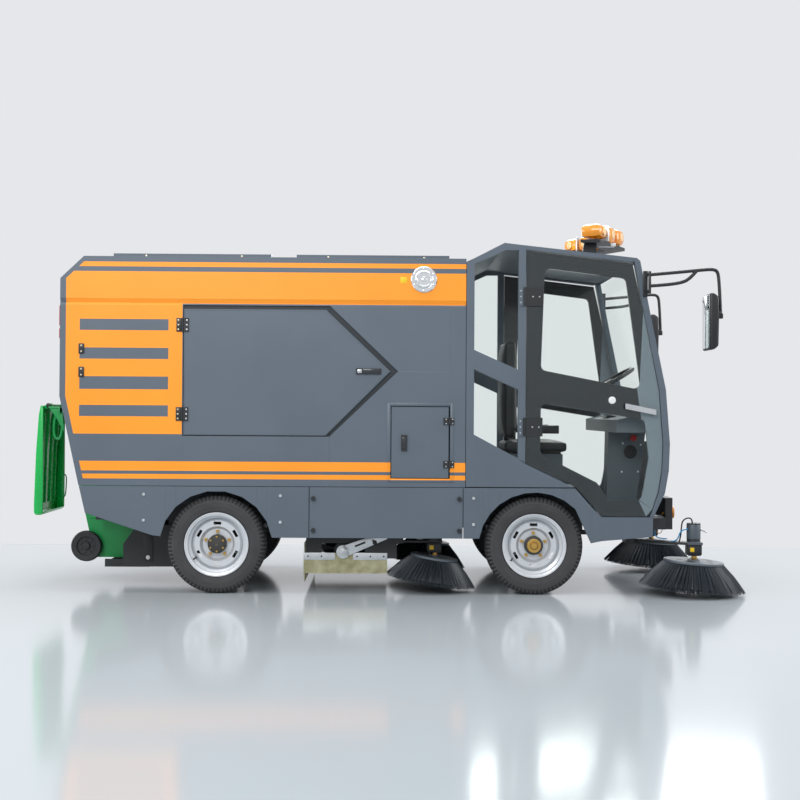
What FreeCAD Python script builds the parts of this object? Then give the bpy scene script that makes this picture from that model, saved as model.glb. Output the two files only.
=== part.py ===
import FreeCAD, Part
import math
import os
import Sketcher

# Ride-on street sweeper.  Millimetres, X forward, Y to the left, Z up, floor at Z = 0.
# X is measured from the rear axle while drawing; every finished node is then shifted
# so that the middle of the whole machine stands at X = 0.

doc = FreeCAD.newDocument("sweeper")
sheet = doc.addObject("Spreadsheet::Sheet", "dims")

driving = {
    # overall
    "wheelbase": 1955, "half_width": 750, "body_top": 2065, "panel_gauge": 12, "fit_gap": 0.3,
    # wheels
    "tyre_radius": 300, "tyre_width": 175, "rim_radius": 197, "wheel_out": 735, "hub_radius": 58,
    # chassis
    "rail_inner": 310, "rail_outer": 380, "rail_low": 420, "rail_high": 520,
    "axle_half": 40, "kingpin_out": 520, "deck_top": 675, "deck_gauge": 15,
    # rear body
    "body_front": 1525, "body_rear": 962, "rear_knee": 1206, "rear_foot": 841, "chamfer_low": 1928,
    "chamfer_back": 818, "skirt_top": 660, "skirt_low": 346, "groove_mid": 1783, "groove_deep": 9,
    # service door
    "door_left": 209, "door_shoulder": 690, "door_tip": 1109, "door_low": 966, "door_high": 1768,
    "door_middle": 1369, "door_channel": 24, "leaf_gauge": 10,
    # access door
    "hatch_rear": 1066, "hatch_front": 1430, "hatch_low": 712, "hatch_high": 1156,
    # cab
    "cab_peak_x": 1760, "cab_peak": 2165, "cab_roof_front": 2575, "cab_brow": 2078,
    "cab_door_rear": 1896, "pillar_depth": 46, "cab_floor_top": 500, "glass_gauge": 6,
    "arch_inner": 440,
    # sweeping gear
    "roller_x": 775, "roller_height": 247, "roller_radius": 150, "roller_half": 560,
    "side_brush_x": 2958, "side_brush_out": 640, "side_brush_radius": 322,
    "mid_brush_x": 1345, "mid_brush_out": 520, "mid_brush_radius": 280, "bristle_gap": 5,
    # waste bin
    "bin_top": 1140, "bin_low": 165, "bin_hinge_x": 1168, "bin_half": 285, "bin_wheel": 100,
    "bin_wall": 6,
}


class Dim:
    """A length that also remembers the spreadsheet expression it comes from."""

    def __init__(self, value, text):
        self.value = value
        self.text = text

    def __add__(self, other):
        return Dim(self.value + number(other), f"({self.text} + {wording(other)})")

    def __sub__(self, other):
        return Dim(self.value - number(other), f"({self.text} - {wording(other)})")

    def __mul__(self, other):
        return Dim(self.value * number(other), f"({self.text} * {wording(other)})")

    def __truediv__(self, other):
        return Dim(self.value / number(other), f"({self.text} / {wording(other)})")

    def __rsub__(self, other):
        return Dim(number(other) - self.value, f"({wording(other)} - {self.text})")

    def __neg__(self):
        return self * -1

    __radd__ = __add__
    __rmul__ = __mul__


def number(value):
    return value.value if isinstance(value, Dim) else float(value)


def wording(value):
    return value.text if isinstance(value, Dim) else f"({float(value):.6f})"


class Sizes:
    """Each driving dimension under its own name."""


size = Sizes()
for row, (name, value) in enumerate(driving.items(), start=1):
    sheet.set(f"A{row}", str(value))
    sheet.setAlias(f"A{row}", name)
    setattr(size, name, Dim(float(value), f"dims.{name}"))
doc.recompute()

front_tilt = 4
middle_tilt = 9
lid_depth = 64
lean = math.radians(front_tilt)
front_bristles = 165
middle_bristles = 153
bristle_rim = front_bristles - 22
front_reach = size.side_brush_x + size.side_brush_radius * math.cos(lean) - bristle_rim * math.sin(lean)
rear_reach = size.bin_hinge_x + 8.4 + lid_depth
rear_axle_x = (rear_reach - front_reach) / 2
nodes = []
turns = {
    "x": FreeCAD.Rotation(FreeCAD.Vector(0, 1, 0), 90),
    "-x": FreeCAD.Rotation(FreeCAD.Vector(0, 1, 0), -90),
    "y": FreeCAD.Rotation(FreeCAD.Vector(1, 0, 0), -90),
    "-y": FreeCAD.Rotation(FreeCAD.Vector(1, 0, 0), 90),
    "z": FreeCAD.Rotation(),
}
sketch_planes = {"x": "YZ_Plane", "y": "XZ_Plane", "z": "XY_Plane"}


def bind(thing, prop, value):
    thing.setExpression(prop, wording(value))


def place(thing, x, y, z):
    for axis, value in zip("xyz", (x, y, z)):
        bind(thing, f"Placement.Base.{axis}", value)


def box(x, y, z):
    """Box between a pair of limits along each axis, in either order."""
    piece = doc.addObject("Part::Box", "block")
    lows = []
    for prop, limits in zip(("Length", "Width", "Height"), (x, y, z)):
        low, high = sorted(limits, key=number)
        bind(piece, prop, high - low)
        lows.append(low)
    place(piece, *lows)
    return piece


def rod(axis, start, end, across, radius):
    """Cylinder along x, y or z from start to end; across is where the other two axes put it."""
    low, high = sorted((start, end), key=number)
    piece = doc.addObject("Part::Cylinder", "rod")
    piece.Placement.Rotation = turns[axis]
    bind(piece, "Radius", radius)
    bind(piece, "Height", high - low)
    first, second = across
    spots = {"x": (low, first, second), "y": (first, low, second), "z": (first, second, low)}
    place(piece, *spots[axis])
    return piece


def pin_point(sketch, corner, x, y):
    """Fix one sketch corner by its two distances from the origin."""
    for kind, reference, value in (("DistanceX", -2, x), ("DistanceY", -1, y)):
        if not isinstance(value, Dim) and abs(value) < 1e-9:
            sketch.addConstraint(Sketcher.Constraint("PointOnObject", corner, 1, reference))
            continue
        index = sketch.addConstraint(Sketcher.Constraint(kind, -1, 1, corner, 1, number(value)))
        if isinstance(value, Dim):
            sketch.setExpression(f"Constraints[{index}]", value.text)


def outline_sketch(body, plane, outline):
    sketch = body.newObject("Sketcher::SketchObject", "outline")
    role_planes = [item for item in body.Origin.OriginFeatures if item.Role == plane]
    sketch.AttachmentSupport = [(role_planes[0], "")]
    sketch.MapMode = "FlatFace"
    count = len(outline)
    corners = [FreeCAD.Vector(number(x), number(y), 0) for x, y in outline]
    lines = [Part.LineSegment(corners[i], corners[(i + 1) % count]) for i in range(count)]
    sketch.addGeometry(lines, False)
    for i in range(count):
        sketch.addConstraint(Sketcher.Constraint("Coincident", i, 2, (i + 1) % count, 1))
    for i, (x, y) in enumerate(outline):
        pin_point(sketch, i, x, y)
    return sketch


def prism(axis, outline, start, end, windows=(), corner_radius=0):
    """Straight-sided plate: outline across the axis, thickness from start to end along it."""
    low, high = sorted((start, end), key=number)
    body = doc.addObject("PartDesign::Body", "plate")
    pad = None
    for cut, shape in enumerate([outline, *windows]):
        sketch = outline_sketch(body, sketch_planes[axis], shape)
        bind(sketch, "AttachmentOffset.Base.z", -high if axis == "y" else low)
        pad = body.newObject("PartDesign::Pocket" if cut else "PartDesign::Pad", "thickness")
        pad.Profile = sketch
        pad.Reversed = bool(cut)
        bind(pad, "Length", high - low)
    if corner_radius:
        doc.recompute()
        spots = [(number(x), number(z)) for window in windows for x, z in window]
        names = []
        for i, edge in enumerate(pad.Shape.Edges, start=1):
            middle = edge.CenterOfMass
            near = any(abs(middle.x - x) < 1 and abs(middle.z - z) < 1 for x, z in spots)
            if near and abs(edge.Length - number(high - low)) < 0.1:
                names.append(f"Edge{i}")
        rounding = body.newObject("PartDesign::Fillet", "rounding")
        rounding.Base = (pad, names)
        rounding.Radius = corner_radius
    return body


def turned(axis, centre, profile):
    """Solid of revolution; profile is (radius, distance along the axis) pairs."""
    body = doc.addObject("PartDesign::Body", "turned")
    sketch = outline_sketch(body, "XZ_Plane", profile)
    spin = body.newObject("PartDesign::Revolution", "spin")
    spin.Profile = sketch
    spin.ReferenceAxis = (sketch, ["V_Axis"])
    spin.Angle = 360
    body.Placement.Rotation = turns[axis]
    place(body, *centre)
    return body


def cut(base, *tools):
    piece = doc.addObject("Part::Cut", "cut")
    piece.Base = base
    piece.Tool = tools[0] if len(tools) == 1 else bundle(*tools)
    return piece


def bundle(*pieces):
    many = doc.addObject("Part::Compound", "bundle")
    many.Links = list(pieces)
    return many


def node(name, *pieces):
    """Finished sub-part, exported under its own name."""
    part = doc.addObject("Part::Compound", name)
    part.Links = list(pieces)
    part.Label = name
    bind(part, "Placement.Base.x", rear_axle_x)
    nodes.append(part)
    return part


def both(maker):
    """Pieces made for the right (-1) and the left (+1) side."""
    return maker(-1) + maker(1)


gap = size.fit_gap
front_axle_x = size.wheelbase
axle_z = size.tyre_radius
outer = size.half_width
gauge = size.panel_gauge
hands = (("right", -1), ("left", 1))

# ---------------------------------------------------------------- chassis
rail_rear = -size.rear_foot + 25
rail_front = size.cab_roof_front - 30


def chassis_side(side):
    inner = size.rail_inner * side
    outside = size.rail_outer * side
    spring = (inner + 5 * side, outside - 5 * side)
    spring_z = size.axle_half + axle_z
    pieces = [box((rail_rear, rail_front), (inner, outside), (size.rail_low, size.rail_high))]
    for axle_x in (0 * front_axle_x, front_axle_x):
        pieces.append(box((axle_x - 380, axle_x + 380), spring, (spring_z, spring_z + 26)))
        for end in (-350, 320):
            pieces.append(box((axle_x + end, axle_x + end + 30), spring, (spring_z + 26, size.rail_low)))
    for pad_x in (400, front_axle_x - 460):
        pieces.append(box((pad_x, pad_x + 60), (inner, outside), (size.rail_low - 40, size.rail_low)))
    return pieces


def crossmember(x):
    inside = size.rail_inner
    return box((x, x + 60), (-inside, inside), (size.rail_low + 10, size.rail_high - 10))


def fork(side):
    """Front axle end: upright plate and the two lugs that hold the knuckle."""
    root = (size.kingpin_out - 50) * side
    face = (size.kingpin_out - 40) * side
    tip = (size.kingpin_out + 22) * side
    x = (front_axle_x - 34, front_axle_x + 34)
    lugs = [box(x, (face, tip), (axle_z + low, axle_z + low + 20)) for low in (65, -85)]
    return [box(x, (root, face), (axle_z - 85, axle_z + 85))] + lugs


rear_tube_end = size.wheel_out - size.tyre_width - gap
beam_end = size.kingpin_out - 50
axle_pieces = [
    rod("y", -rear_tube_end, rear_tube_end, (0, axle_z), size.axle_half),
    box((front_axle_x - 30, front_axle_x + 30), (-beam_end, beam_end),
        (axle_z - 30, axle_z + size.axle_half)),
]
differential = cut(rod("y", -75, 75, (0, axle_z), 115),
                   rod("y", -80, 80, (0, axle_z), size.axle_half))
frame_pieces = both(chassis_side) + [crossmember(x) for x in (-420, 1090, 1440, 2420)]
node("axles", *axle_pieces, differential, *both(fork))

# ---------------------------------------------------------------- floors, bulkheads and rear wall
deck = (size.deck_top - size.deck_gauge, size.deck_top)
wall_in = outer - gauge
bin_slot = size.bin_half + 45
deck_rear = -430


def rear_strips(side):
    """Rear wall beside the bin, upright above the knee and leaning forward below it."""
    y = (bin_slot * side, (wall_in - gap) * side)
    knee, foot = -size.body_rear, -size.rear_foot
    low = [(knee, size.rear_knee), (foot, size.skirt_top), (foot + gauge, size.skirt_top),
           (knee + gauge, size.rear_knee)]
    return [
        prism("y", low, *y),
        box((knee, knee + gauge), y, (size.rear_knee, size.bin_top + 130)),
        box((deck_rear, 620), (206.3 * side, (wall_in - gap) * side), deck),
        box((-470, deck_rear), (bin_slot * side, (wall_in - gap) * side),
            (deck[0], size.chamfer_low)),
        box((deck_rear, 620), (size.rail_inner * side, size.rail_outer * side),
            (size.rail_high, deck[0])),
        box((740, 780), (560 * side, 600 * side), (deck[1], 1450)),
        box((1410, 1450), (560 * side, 600 * side), (deck[1], 1450)),
        box((740, 1450), (560 * side, 600 * side), (1450, 1490)),
    ]


inside_limits = (-(wall_in - gap), wall_in - gap)
floor_pieces = [
    *both(rear_strips),
    box((620, size.body_front - 25), inside_limits, deck),
    box((-size.body_rear, gauge - size.body_rear), inside_limits, (size.bin_top + 130, size.chamfer_low)),
    box((size.body_front - 25, size.body_front), inside_limits, (size.rail_high, size.body_top - 15)),
]
cab_low = size.cab_floor_top
cab_side_in = outer - size.pillar_depth - gap
cab_rear = size.body_front + 25
footwell_rear = 2290
footwell_front = 2660
arch_top_z = 653


def cab_floor_side(side):
    """Floor over the front wheel and the lower floor ahead of it; the wheel steers under the arch."""
    arch_wall = (size.arch_inner * side, (size.arch_inner + 12) * side)
    arch_floor = (size.arch_inner * side, cab_side_in * side)
    footwell = (footwell_rear + 12.3, footwell_front)
    return [
        box(footwell, arch_floor, (cab_low - 20, cab_low - 5)),
        box(footwell, arch_wall, (cab_low - 5, cab_low + 35)),
        box((cab_rear, footwell_rear), arch_wall, (cab_low + 35, arch_top_z)),
        box((cab_rear, footwell_rear), arch_floor, (arch_top_z, arch_top_z + 15)),
        box((footwell_rear, footwell_rear + 12), arch_floor, (cab_low - 5, arch_top_z + 7)),
    ]


floor_pieces.append(box((cab_rear, footwell_front), (-size.arch_inner, size.arch_inner),
                        (cab_low + 20, cab_low + 35)))
node("floors_and_bulkheads", *floor_pieces, *both(cab_floor_side))

# ---------------------------------------------------------------- body side panels
tip_run = size.door_tip - size.door_shoulder


def tip_edge(x, end):
    """Height on the sloping edge of the door opening, at x; end is the height at the shoulder."""
    return end + (size.door_middle - end) * ((x - size.door_shoulder) / tip_run)


def body_side(side):
    skin = (outer * side, (outer - gauge) * side)
    base, high = size.skirt_top, size.groove_mid - 15
    left, shoulder, tip = -size.door_left, size.door_shoulder, size.door_tip
    hatch_rear = size.hatch_rear
    front = size.body_front
    band_low = size.groove_mid + 22
    rear = -size.body_rear
    rim = outer * side
    deep = (outer - size.groove_deep) * side
    back = (outer - gauge) * side
    upper_lip = [(deep, size.groove_mid), (rim, band_low), (back, band_low), (back, size.groove_mid)]
    lower_lip = [(rim, high), (deep, size.groove_mid), (back, size.groove_mid), (back, high)]

    def slab(outline):
        return prism("y", outline, *skin)

    pieces = [
        slab([(rear, band_low), (front, band_low), (front, size.body_top),
              (-size.chamfer_back, size.body_top), (rear, size.chamfer_low)]),
        prism("x", upper_lip, rear, front),
        prism("x", lower_lip, rear, front),
        slab([(-size.rear_foot, base), (left, base), (left, high), (rear, high),
              (rear, size.rear_knee)]),
        slab([(left, base), (shoulder, base), (shoulder, size.door_low), (left, size.door_low)]),
        slab([(shoulder, base), (hatch_rear, base), (hatch_rear, tip_edge(hatch_rear, size.door_low)),
              (shoulder, size.door_low)]),
        slab([(hatch_rear, base), (size.hatch_front, base), (size.hatch_front, size.hatch_low),
              (hatch_rear, size.hatch_low)]),
        slab([(hatch_rear, size.hatch_high), (size.hatch_front, size.hatch_high),
              (size.hatch_front, size.door_middle), (tip, size.door_middle),
              (hatch_rear, tip_edge(hatch_rear, size.door_low))]),
        slab([(tip, size.door_middle), (size.hatch_front, size.door_middle),
              (size.hatch_front, high), (shoulder, high)]),
        slab([(size.hatch_front, base), (front, base), (front, high), (size.hatch_front, high)]),
    ]
    if side > 0:
        pieces.append(slab([(hatch_rear, size.hatch_low), (size.hatch_front, size.hatch_low),
                            (size.hatch_front, size.hatch_high), (hatch_rear, size.hatch_high)]))
    return pieces


def door_jamb(side):
    """Bars behind the rim of the service door opening; the leaf closes against them."""
    y = ((outer - gauge) * side, (outer - gauge - 12) * side)
    step = 70
    left, shoulder, tip = -size.door_left, size.door_shoulder, size.door_tip
    low, high, middle = size.door_low, size.door_high, size.door_middle

    def bar(outline):
        return prism("y", outline, *y)

    return [
        bar([(left - 20, low - 20), (left + step, low - 20), (left + step, high + 10),
             (left - 20, high + 10)]),
        bar([(left + step, low - 20), (shoulder, low - 20), (shoulder, low + step), (left + step, low + step)]),
        bar([(left + step, high - step), (shoulder, high - step), (shoulder, high + 10),
             (left + step, high + 10)]),
        bar([(shoulder, low - 20), (tip + 20, middle), (tip - 105, middle), (shoulder, low + step)]),
        bar([(shoulder, high - step), (tip - 105, middle), (tip + 20, middle), (shoulder, high + 10)]),
    ]


node("body_sides", *both(body_side), *both(door_jamb))

# ---------------------------------------------------------------- roof of the rear body
roof_half = outer - gauge - gap
slope = [(-size.body_rear, size.chamfer_low), (gauge - size.body_rear, size.chamfer_low),
         (gauge - size.chamfer_back, size.body_top - gauge), (-size.chamfer_back, size.body_top)]
cover_high = size.body_top + 30
node(
    "body_roof",
    box((gauge - size.chamfer_back, size.body_front), (-roof_half, roof_half),
        (size.body_top - gauge, size.body_top)),
    prism("y", slope, -roof_half, roof_half),
    box((-660, 315), (-640, 640), (size.body_top, cover_high)),
    prism("y", [(475, size.body_top), (1425, size.body_top), (1425, cover_high), (475, cover_high)],
          -640, 640),
)

# ---------------------------------------------------------------- skirts and fenders
skirt_skin = 4


def skirts(side):
    skin = (outer * side, (outer - skirt_skin) * side)
    top, low = size.skirt_top - 3, size.skirt_low
    arch = size.tyre_radius + 45
    arch_rise = arch - 14
    steps = 9

    def plate(outline):
        return prism("y", outline, *skin)

    def arch_edge(height):
        """How far from the axle the round arch comes down to this height."""
        share = number(height - axle_z) / number(arch_rise)
        return arch * math.sqrt(1 - share * share)

    def arch_plates(centre, rear_edge, front_edge):
        """Upright strips whose lower ends follow the round arch over one axle."""
        start = math.acos(number(rear_edge) / number(arch))
        turn = math.pi - start - math.acos(number(front_edge) / number(arch))
        angles = [start + turn * k / steps for k in range(steps + 1)]
        ends = [(centre - arch * math.cos(a), axle_z + arch_rise * math.sin(a)) for a in angles]
        return [plate([a, b, (b[0], top), (a[0], top)]) for a, b in zip(ends, ends[1:])]

    edge = arch_edge(low)
    rear = [plate([(-size.rear_foot + 2, top), (-800, 492), (-390, 357), (-edge, low + 6), (-edge, top)])]
    rear += arch_plates(0, edge, edge)
    rear += [plate([(edge, low), (567, low), (567, top), (edge, top)])]
    middle = [plate([(571, low), (1511, low), (1511, top), (571, top)])]
    front_corner = size.wheelbase + arch_edge(321)
    fender = [plate([(1515, low), (size.wheelbase - edge, low), (size.wheelbase - edge, top), (1515, top)])]
    slope_start = size.wheelbase + 248
    slope_under = axle_z + arch_rise * math.sin(math.acos(248 / number(arch)))
    fender += arch_plates(size.wheelbase, edge, 248)
    fender += [
        plate([(slope_start, slope_under), (front_corner, 321), (front_corner, 547), (slope_start, top)]),
        plate([(front_corner, 321), (2367, 335), (2367, 482), (front_corner, 547)]),
        plate([(2367, 335), (2682, 362), (2682, 482), (2367, 482)]),
    ]
    return rear + middle + fender


def skirt_brackets(side):
    """Stays that carry the skirts from the chassis rails."""
    y = ((outer - skirt_skin - gap) * side, (size.rail_outer + gap) * side)
    return [box((x, x + 30), y, (450, 480)) for x in (-480, 430, 1480, 2340)]


def skirt_fixings(side):
    bolts = [(-442, 608), (-442, 450), (393, 603), (393, 441), (1577, 594), (1577, 433)]
    knobs = [(594, 588), (1490, 588), (594, 393), (1490, 393)]
    face = (outer + gap) * side
    pieces = [rod("y", face, face + 6 * side, spot, 9) for spot in bolts]
    pieces += [rod("y", face, face + 14 * side, spot, 14) for spot in knobs]
    return pieces


node("skirts", *both(skirts))
frame_pieces += both(skirt_brackets)
node("skirt_fixings", *both(skirt_fixings))

# ---------------------------------------------------------------- cab
pillar_in = outer - size.pillar_depth
hinge_heights = ((1775, 1894), (976, 1091))
hinge_pin_x = size.cab_door_rear - 11
hinge_pin_y = outer + 7.5


front_edge = {2060: 2596, 2045: 2599, 1749: 2657, 1267: 2758, 935: 2784, 769: 2778, 633: 2755}


def front_line(height):
    """X of the cab's front edge at a height, a gently curved line of straight runs."""
    return front_edge[height]


door_front = {2060: 2556, 1749: 2616, 1267: 2714, 935: 2739, 769: 2733, 633: 2712, 478: 2660}


def cab_side(side):
    skin = (outer * side, pillar_in * side)
    rear, pillar = size.body_front + 3, size.cab_door_rear - 3
    peak_x, peak, brow = size.cab_peak_x, size.cab_peak, size.cab_brow
    base = size.skirt_top + 3

    def bar(outline):
        return prism("y", outline, *skin)

    pieces = [
        bar([(rear, base), (1576, base), (1576, 2032), (1576, 2070), (rear, 2048)]),
        bar([(1576, 2032), (1768, 2120), (1848, 2120), (1848, peak - 10), (peak_x, peak), (1576, 2070)]),
        bar([(1848, 840), (pillar, 812), (pillar, peak - 15), (1848, peak - 10)]),
        bar([(1576, 1505), (1576, 1385), (1848, 1262), (1848, 1384)]),
        bar([(1576, base), (2196, base), (pillar, 806), (1848, 840), (1576, 985)]),
        bar([(pillar, peak - 40), (2548, brow - 26), (2575, brow), (pillar, peak - 15)]),
    ]
    runs = (2060, 1749, 1267, 935, 769, 633)
    for high, low in zip(runs, runs[1:]):
        pieces.append(bar([(door_front[high] + 4, high), (door_front[low] + 4, low),
                           (front_line(low), low), (front_line(high), high)]))
    pieces.append(bar([(2664, 485), (2686, 485), (front_line(633), 633), (2716, 633)]))
    pieces.append(bar([(2548, brow - 26), (2560, 2060), (front_line(2060), 2060), (2575, brow)]))
    for low, high in hinge_heights:
        pieces.append(box((1849, hinge_pin_x - 9), ((outer + gap) * side, (outer + 6) * side), (low, high)))
    return pieces


half_cab = pillar_in - gap
roof_gauge = 14
peak_x, peak, brow = size.cab_peak_x, size.cab_peak, size.cab_brow
windscreen_low = 935
node(
    "cab_frame",
    *both(cab_side),
    prism("y", [(1530, 2048), (peak_x, peak), (peak_x, peak - roof_gauge), (1530, 2034)],
          -half_cab, half_cab),
    prism("y", [(peak_x, peak), (2575, brow), (2570, brow - roof_gauge), (peak_x, peak - roof_gauge)],
          -half_cab, half_cab),
    prism("y", [(2575, brow), (2596, 2060), (2584, 2050), (2570, brow - roof_gauge)],
          -half_cab, half_cab),
    box((1530, 1545), (-half_cab, half_cab), (cab_low + 36, 2030)),
    prism("y", [(2784, windscreen_low), (2778, 769), (2766, 769), (2772, windscreen_low)],
          -half_cab, half_cab),
    prism("y", [(2778, 769), (2755, 633), (2743, 633), (2766, 769)], -half_cab, half_cab),
    prism("y", [(2755, 633), (2692, 485), (2680, 485), (2743, 633)], -half_cab, half_cab),
)

glass_out = outer - 8
glass_in = glass_out - size.glass_gauge


def quarter_glass(side):
    """Fixed rear quarter panes, held in the thickness of the pillars."""
    y = (glass_out * side, glass_in * side)
    upper = [(1576.3, 1505.3), (1847.7, 1384.3), (1847.7, 2119.7), (1768, 2119.7), (1576.3, 2031.7)]
    lower = [(1576.3, 985.3), (1847.7, 841), (1847.7, 1261.7), (1576.3, 1384.7)]
    return [prism("y", upper, *y), prism("y", lower, *y)]


def screen(low, high):
    inset = 8
    thick = size.glass_gauge
    x_low, x_high = front_line(low) - inset, front_line(high) - inset
    return prism("y", [(x_low, low), (x_high, high), (x_high - thick, high), (x_low - thick, low)],
                 -half_cab, half_cab)


node("cab_glazing", *both(quarter_glass), screen(1749, 2045), screen(1267, 1749),
     screen(windscreen_low, 1267))

# door leaves
door_outline = [(size.cab_door_rear, 2118), (size.cab_door_rear, 809), (2200, 670), (2367, 486),
                (2640, 486), (2676, 530), (door_front[633], 640), (door_front[769], 769),
                (door_front[935], 935), (door_front[1267], 1267),
                (door_front[1749], 1749), (2549, 2042)]
upper_window = [(2009, 2012), (1987, 1385), (2604, 1266), (2508, 1951)]
lower_window = [(1989, 1182), (1984, 869), (2336, 693), (2410, 585), (2607, 586), (2625, 673),
                (2655, 842), (2630, 1081)]
handle_spot = (2597, 1150)


def cab_door(side):
    skin_out = outer * side
    skin_mid = (outer - size.glass_gauge) * side
    skin_in = (outer - size.glass_gauge - 20) * side
    frame = prism("y", door_outline, skin_mid - gap * side, skin_in, (upper_window, lower_window), 36)
    straps = [box((hinge_pin_x + 7.2, 1998), ((outer + gap) * side, (outer + 6) * side), limits)
              for limits in hinge_heights]
    pins = [rod("z", low + 2, high - 2, (hinge_pin_x, hinge_pin_y * side), 7)
            for low, high in hinge_heights]
    lock = rod("y", (outer + gap) * side, (outer + 5) * side, (2426, 1201), 22)
    return frame, prism("y", door_outline, skin_out, skin_mid), straps + pins + [lock]


for hand, side in hands:
    frame, glass, fittings = cab_door(side)
    node(f"cab_door_frame_{hand}", frame, *fittings)
    node(f"cab_door_glass_{hand}", glass)
    x, z = handle_spot
    grip_y = ((outer + 22) * side, (outer + 34) * side)
    node(f"cab_door_handle_{hand}",
         prism("y", [(x - 94, z - 2), (x + 94, z - 38), (x + 94, z - 6), (x - 94, z + 32)], *grip_y),
         rod("y", (outer + gap) * side, (outer + 22) * side, (x - 70, z + 10), 12))

# ---------------------------------------------------------------- cab interior
seat_low = 850
wheel_tilt = 30
wheel_spot = (2535, 0, 1330)
stop_spot = (2638, 962)
node(
    "seat",
    prism("y", [(1815, seat_low), (2223, seat_low), (2223, 930), (2190, 945), (1815, 925)], -235, 235),
    prism("y", [(1800, 950), (1912, 950), (1895, 1560), (1850, 1600), (1790, 1580)], -225, 225),
    box((1830, 1890), (-60, 60), (930, 949.7)),
    box((1930, 2165), (-290, -245), (985, 1040)),
    box((1930, 2165), (245, 290), (985, 1040)),
    box((1880, 1930), (-290, -225.2), (1000, 1030)),
    box((1880, 1930), (225.2, 290), (1000, 1030)),
)
ring = doc.addObject("Part::Torus", "ring")
ring.Radius1 = 180
ring.Radius2 = 14
spokes = [box((34 * end, 165 * end), (-15, 15), (-8, 2)) for end in (-1, 1)]
spokes.append(rod("z", -40, 10, (0, 0), 34))
wheel = bundle(ring, *spokes)
wheel.Placement.Rotation = FreeCAD.Rotation(FreeCAD.Vector(0, 1, 0), -wheel_tilt)
place(wheel, *wheel_spot)
node("steering_wheel", wheel)
column = rod("z", -330, -40.3, (0, 0), 26)
column_holder = bundle(column)
column_holder.Placement.Rotation = FreeCAD.Rotation(FreeCAD.Vector(0, 1, 0), -wheel_tilt)
place(column_holder, *wheel_spot)


def dash_top():
    return prism("y", [(2480, 1000), (2745, 1000), (2735, 1070), (2600, 1110), (2480, 1080)], -620, 620)


node(
    "cab_console",
    cut(column_holder, dash_top()),
    cut(rod("y", -331, -320, stop_spot, 27), rod("y", -332, -319, stop_spot, 20.6)),
    dash_top(),
    prism("y", [(2470, cab_low + 35), (2660, cab_low + 35), (2720, 1000), (2480, 1000)], -320, -180),
    box((2676, 2684), (45, 260), (cab_low + 35, 1000)),
    box((2640, 2676), (45, 260), (cab_low + 35, cab_low + 37)),
    box((1830, 2200), (-200, 200), (cab_low + 35, seat_low - gap)),
)
for name, y in (("brake_pedal", 90), ("drive_pedal", 210)):
    node(name,
         prism("y", [(2661, 646.6), (2671, 646.6), (2648, 575), (2600, 556), (2596, 566), (2638, 582)],
               y - 30, y + 30),
         rod("y", y - 30, y + 30, (2667.5, 655), 8))
node("emergency_stop", rod("y", -326.4, -345, stop_spot, 20))

# ---------------------------------------------------------------- machinery inside the body
hopper_top = 1880


def hopper_wall(side):
    return [prism("x", [(225 * side, 1330), (330 * side, hopper_top), (322 * side, hopper_top),
                        (217 * side, 1330)], gauge - size.body_rear + gap, -470.3)]


node(
    "dust_hopper",
    *both(hopper_wall),
    prism("y", [(-420, 1340), (-412, 1340), (620, 575), (620, 566)], -200, 200),
    prism("y", [(-420, 1170), (-412, 1170), (550, 440), (550, 431)], -200, 200),
    *[prism("y", [(-412, 1172), (550, 441), (620, 566), (-412, 1334)], 200 * side, 206 * side)
      for side in (-1, 1)],
)
node("battery_pack", box((760, 1380), (-420, 420), (size.deck_top, 1040)),
     box((780, 1360), (-400, 400), (1040, 1062)))
node("suction_fan", rod("y", -150, 150, (1090, 1260), 190), box((960, 1220), (-130, 130), (1062, 1069.8)))
node("water_tank", box((750, 1440), (-610, 610), (1490, 1990)),
     rod("y", -610, -(outer - gauge - gap), (1265, 1935), 50))
cap_y = -(outer + gap)
node("filler_cap", rod("y", cap_y, cap_y - 10, (1265, 1935), 80),
     rod("y", cap_y - 10, cap_y - 24, (1265, 1935), 54))

# ---------------------------------------------------------------- lamps and bumper
lamp_out = 600


def front_lamps(side):
    y = (lamp_out * side, (lamp_out - 150) * side)
    rear_y = ((outer - 90) * side, (outer - 20) * side)
    rear_x = -size.body_rear
    return [
        rod("x", 2835.3, 2856, (y[0] - 75 * side, 498), 38),
        box((2835.3, 2850), ((lamp_out - 160) * side, (lamp_out - 290) * side), (455, 545)),
        box((rear_x - 9, rear_x - gap), rear_y, (1640, 1760)),
        box((rear_x - 9, rear_x - gap), rear_y, (1560, 1620)),
    ]


node(
    "front_bumper",
    box((2700, 2780), (-lamp_out - 60, lamp_out + 60), (400, 470)),
    *[box((2790, 2835), (lamp_out * side, (lamp_out - 300) * side), (396, 593)) for side in (-1, 1)],
    *[box((2780, 2790), ((lamp_out - 40) * side, (lamp_out - 260) * side), (410, 460)) for side in (-1, 1)],
    *[box((rail_front, 2700), (size.rail_inner * side, size.rail_outer * side), (420, 460))
      for side in (-1, 1)],
)
node("lamps", *both(front_lamps))

# ---------------------------------------------------------------- beacon bar on the cab roof
beacon_low, beacon_high = 2234, 2344


def roof_height(x):
    """Top of the cab roof at x, with the fit gap added."""
    fall = (peak - brow) / (2575 - peak_x)
    return peak - fall * (x - peak_x) + gap


def beacon_wing(side):
    return [prism("z", [(2648, 6 * side), (2498, 6 * side), (2262, 440 * side), (2405, 440 * side)],
                  beacon_low, beacon_high)]


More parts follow.
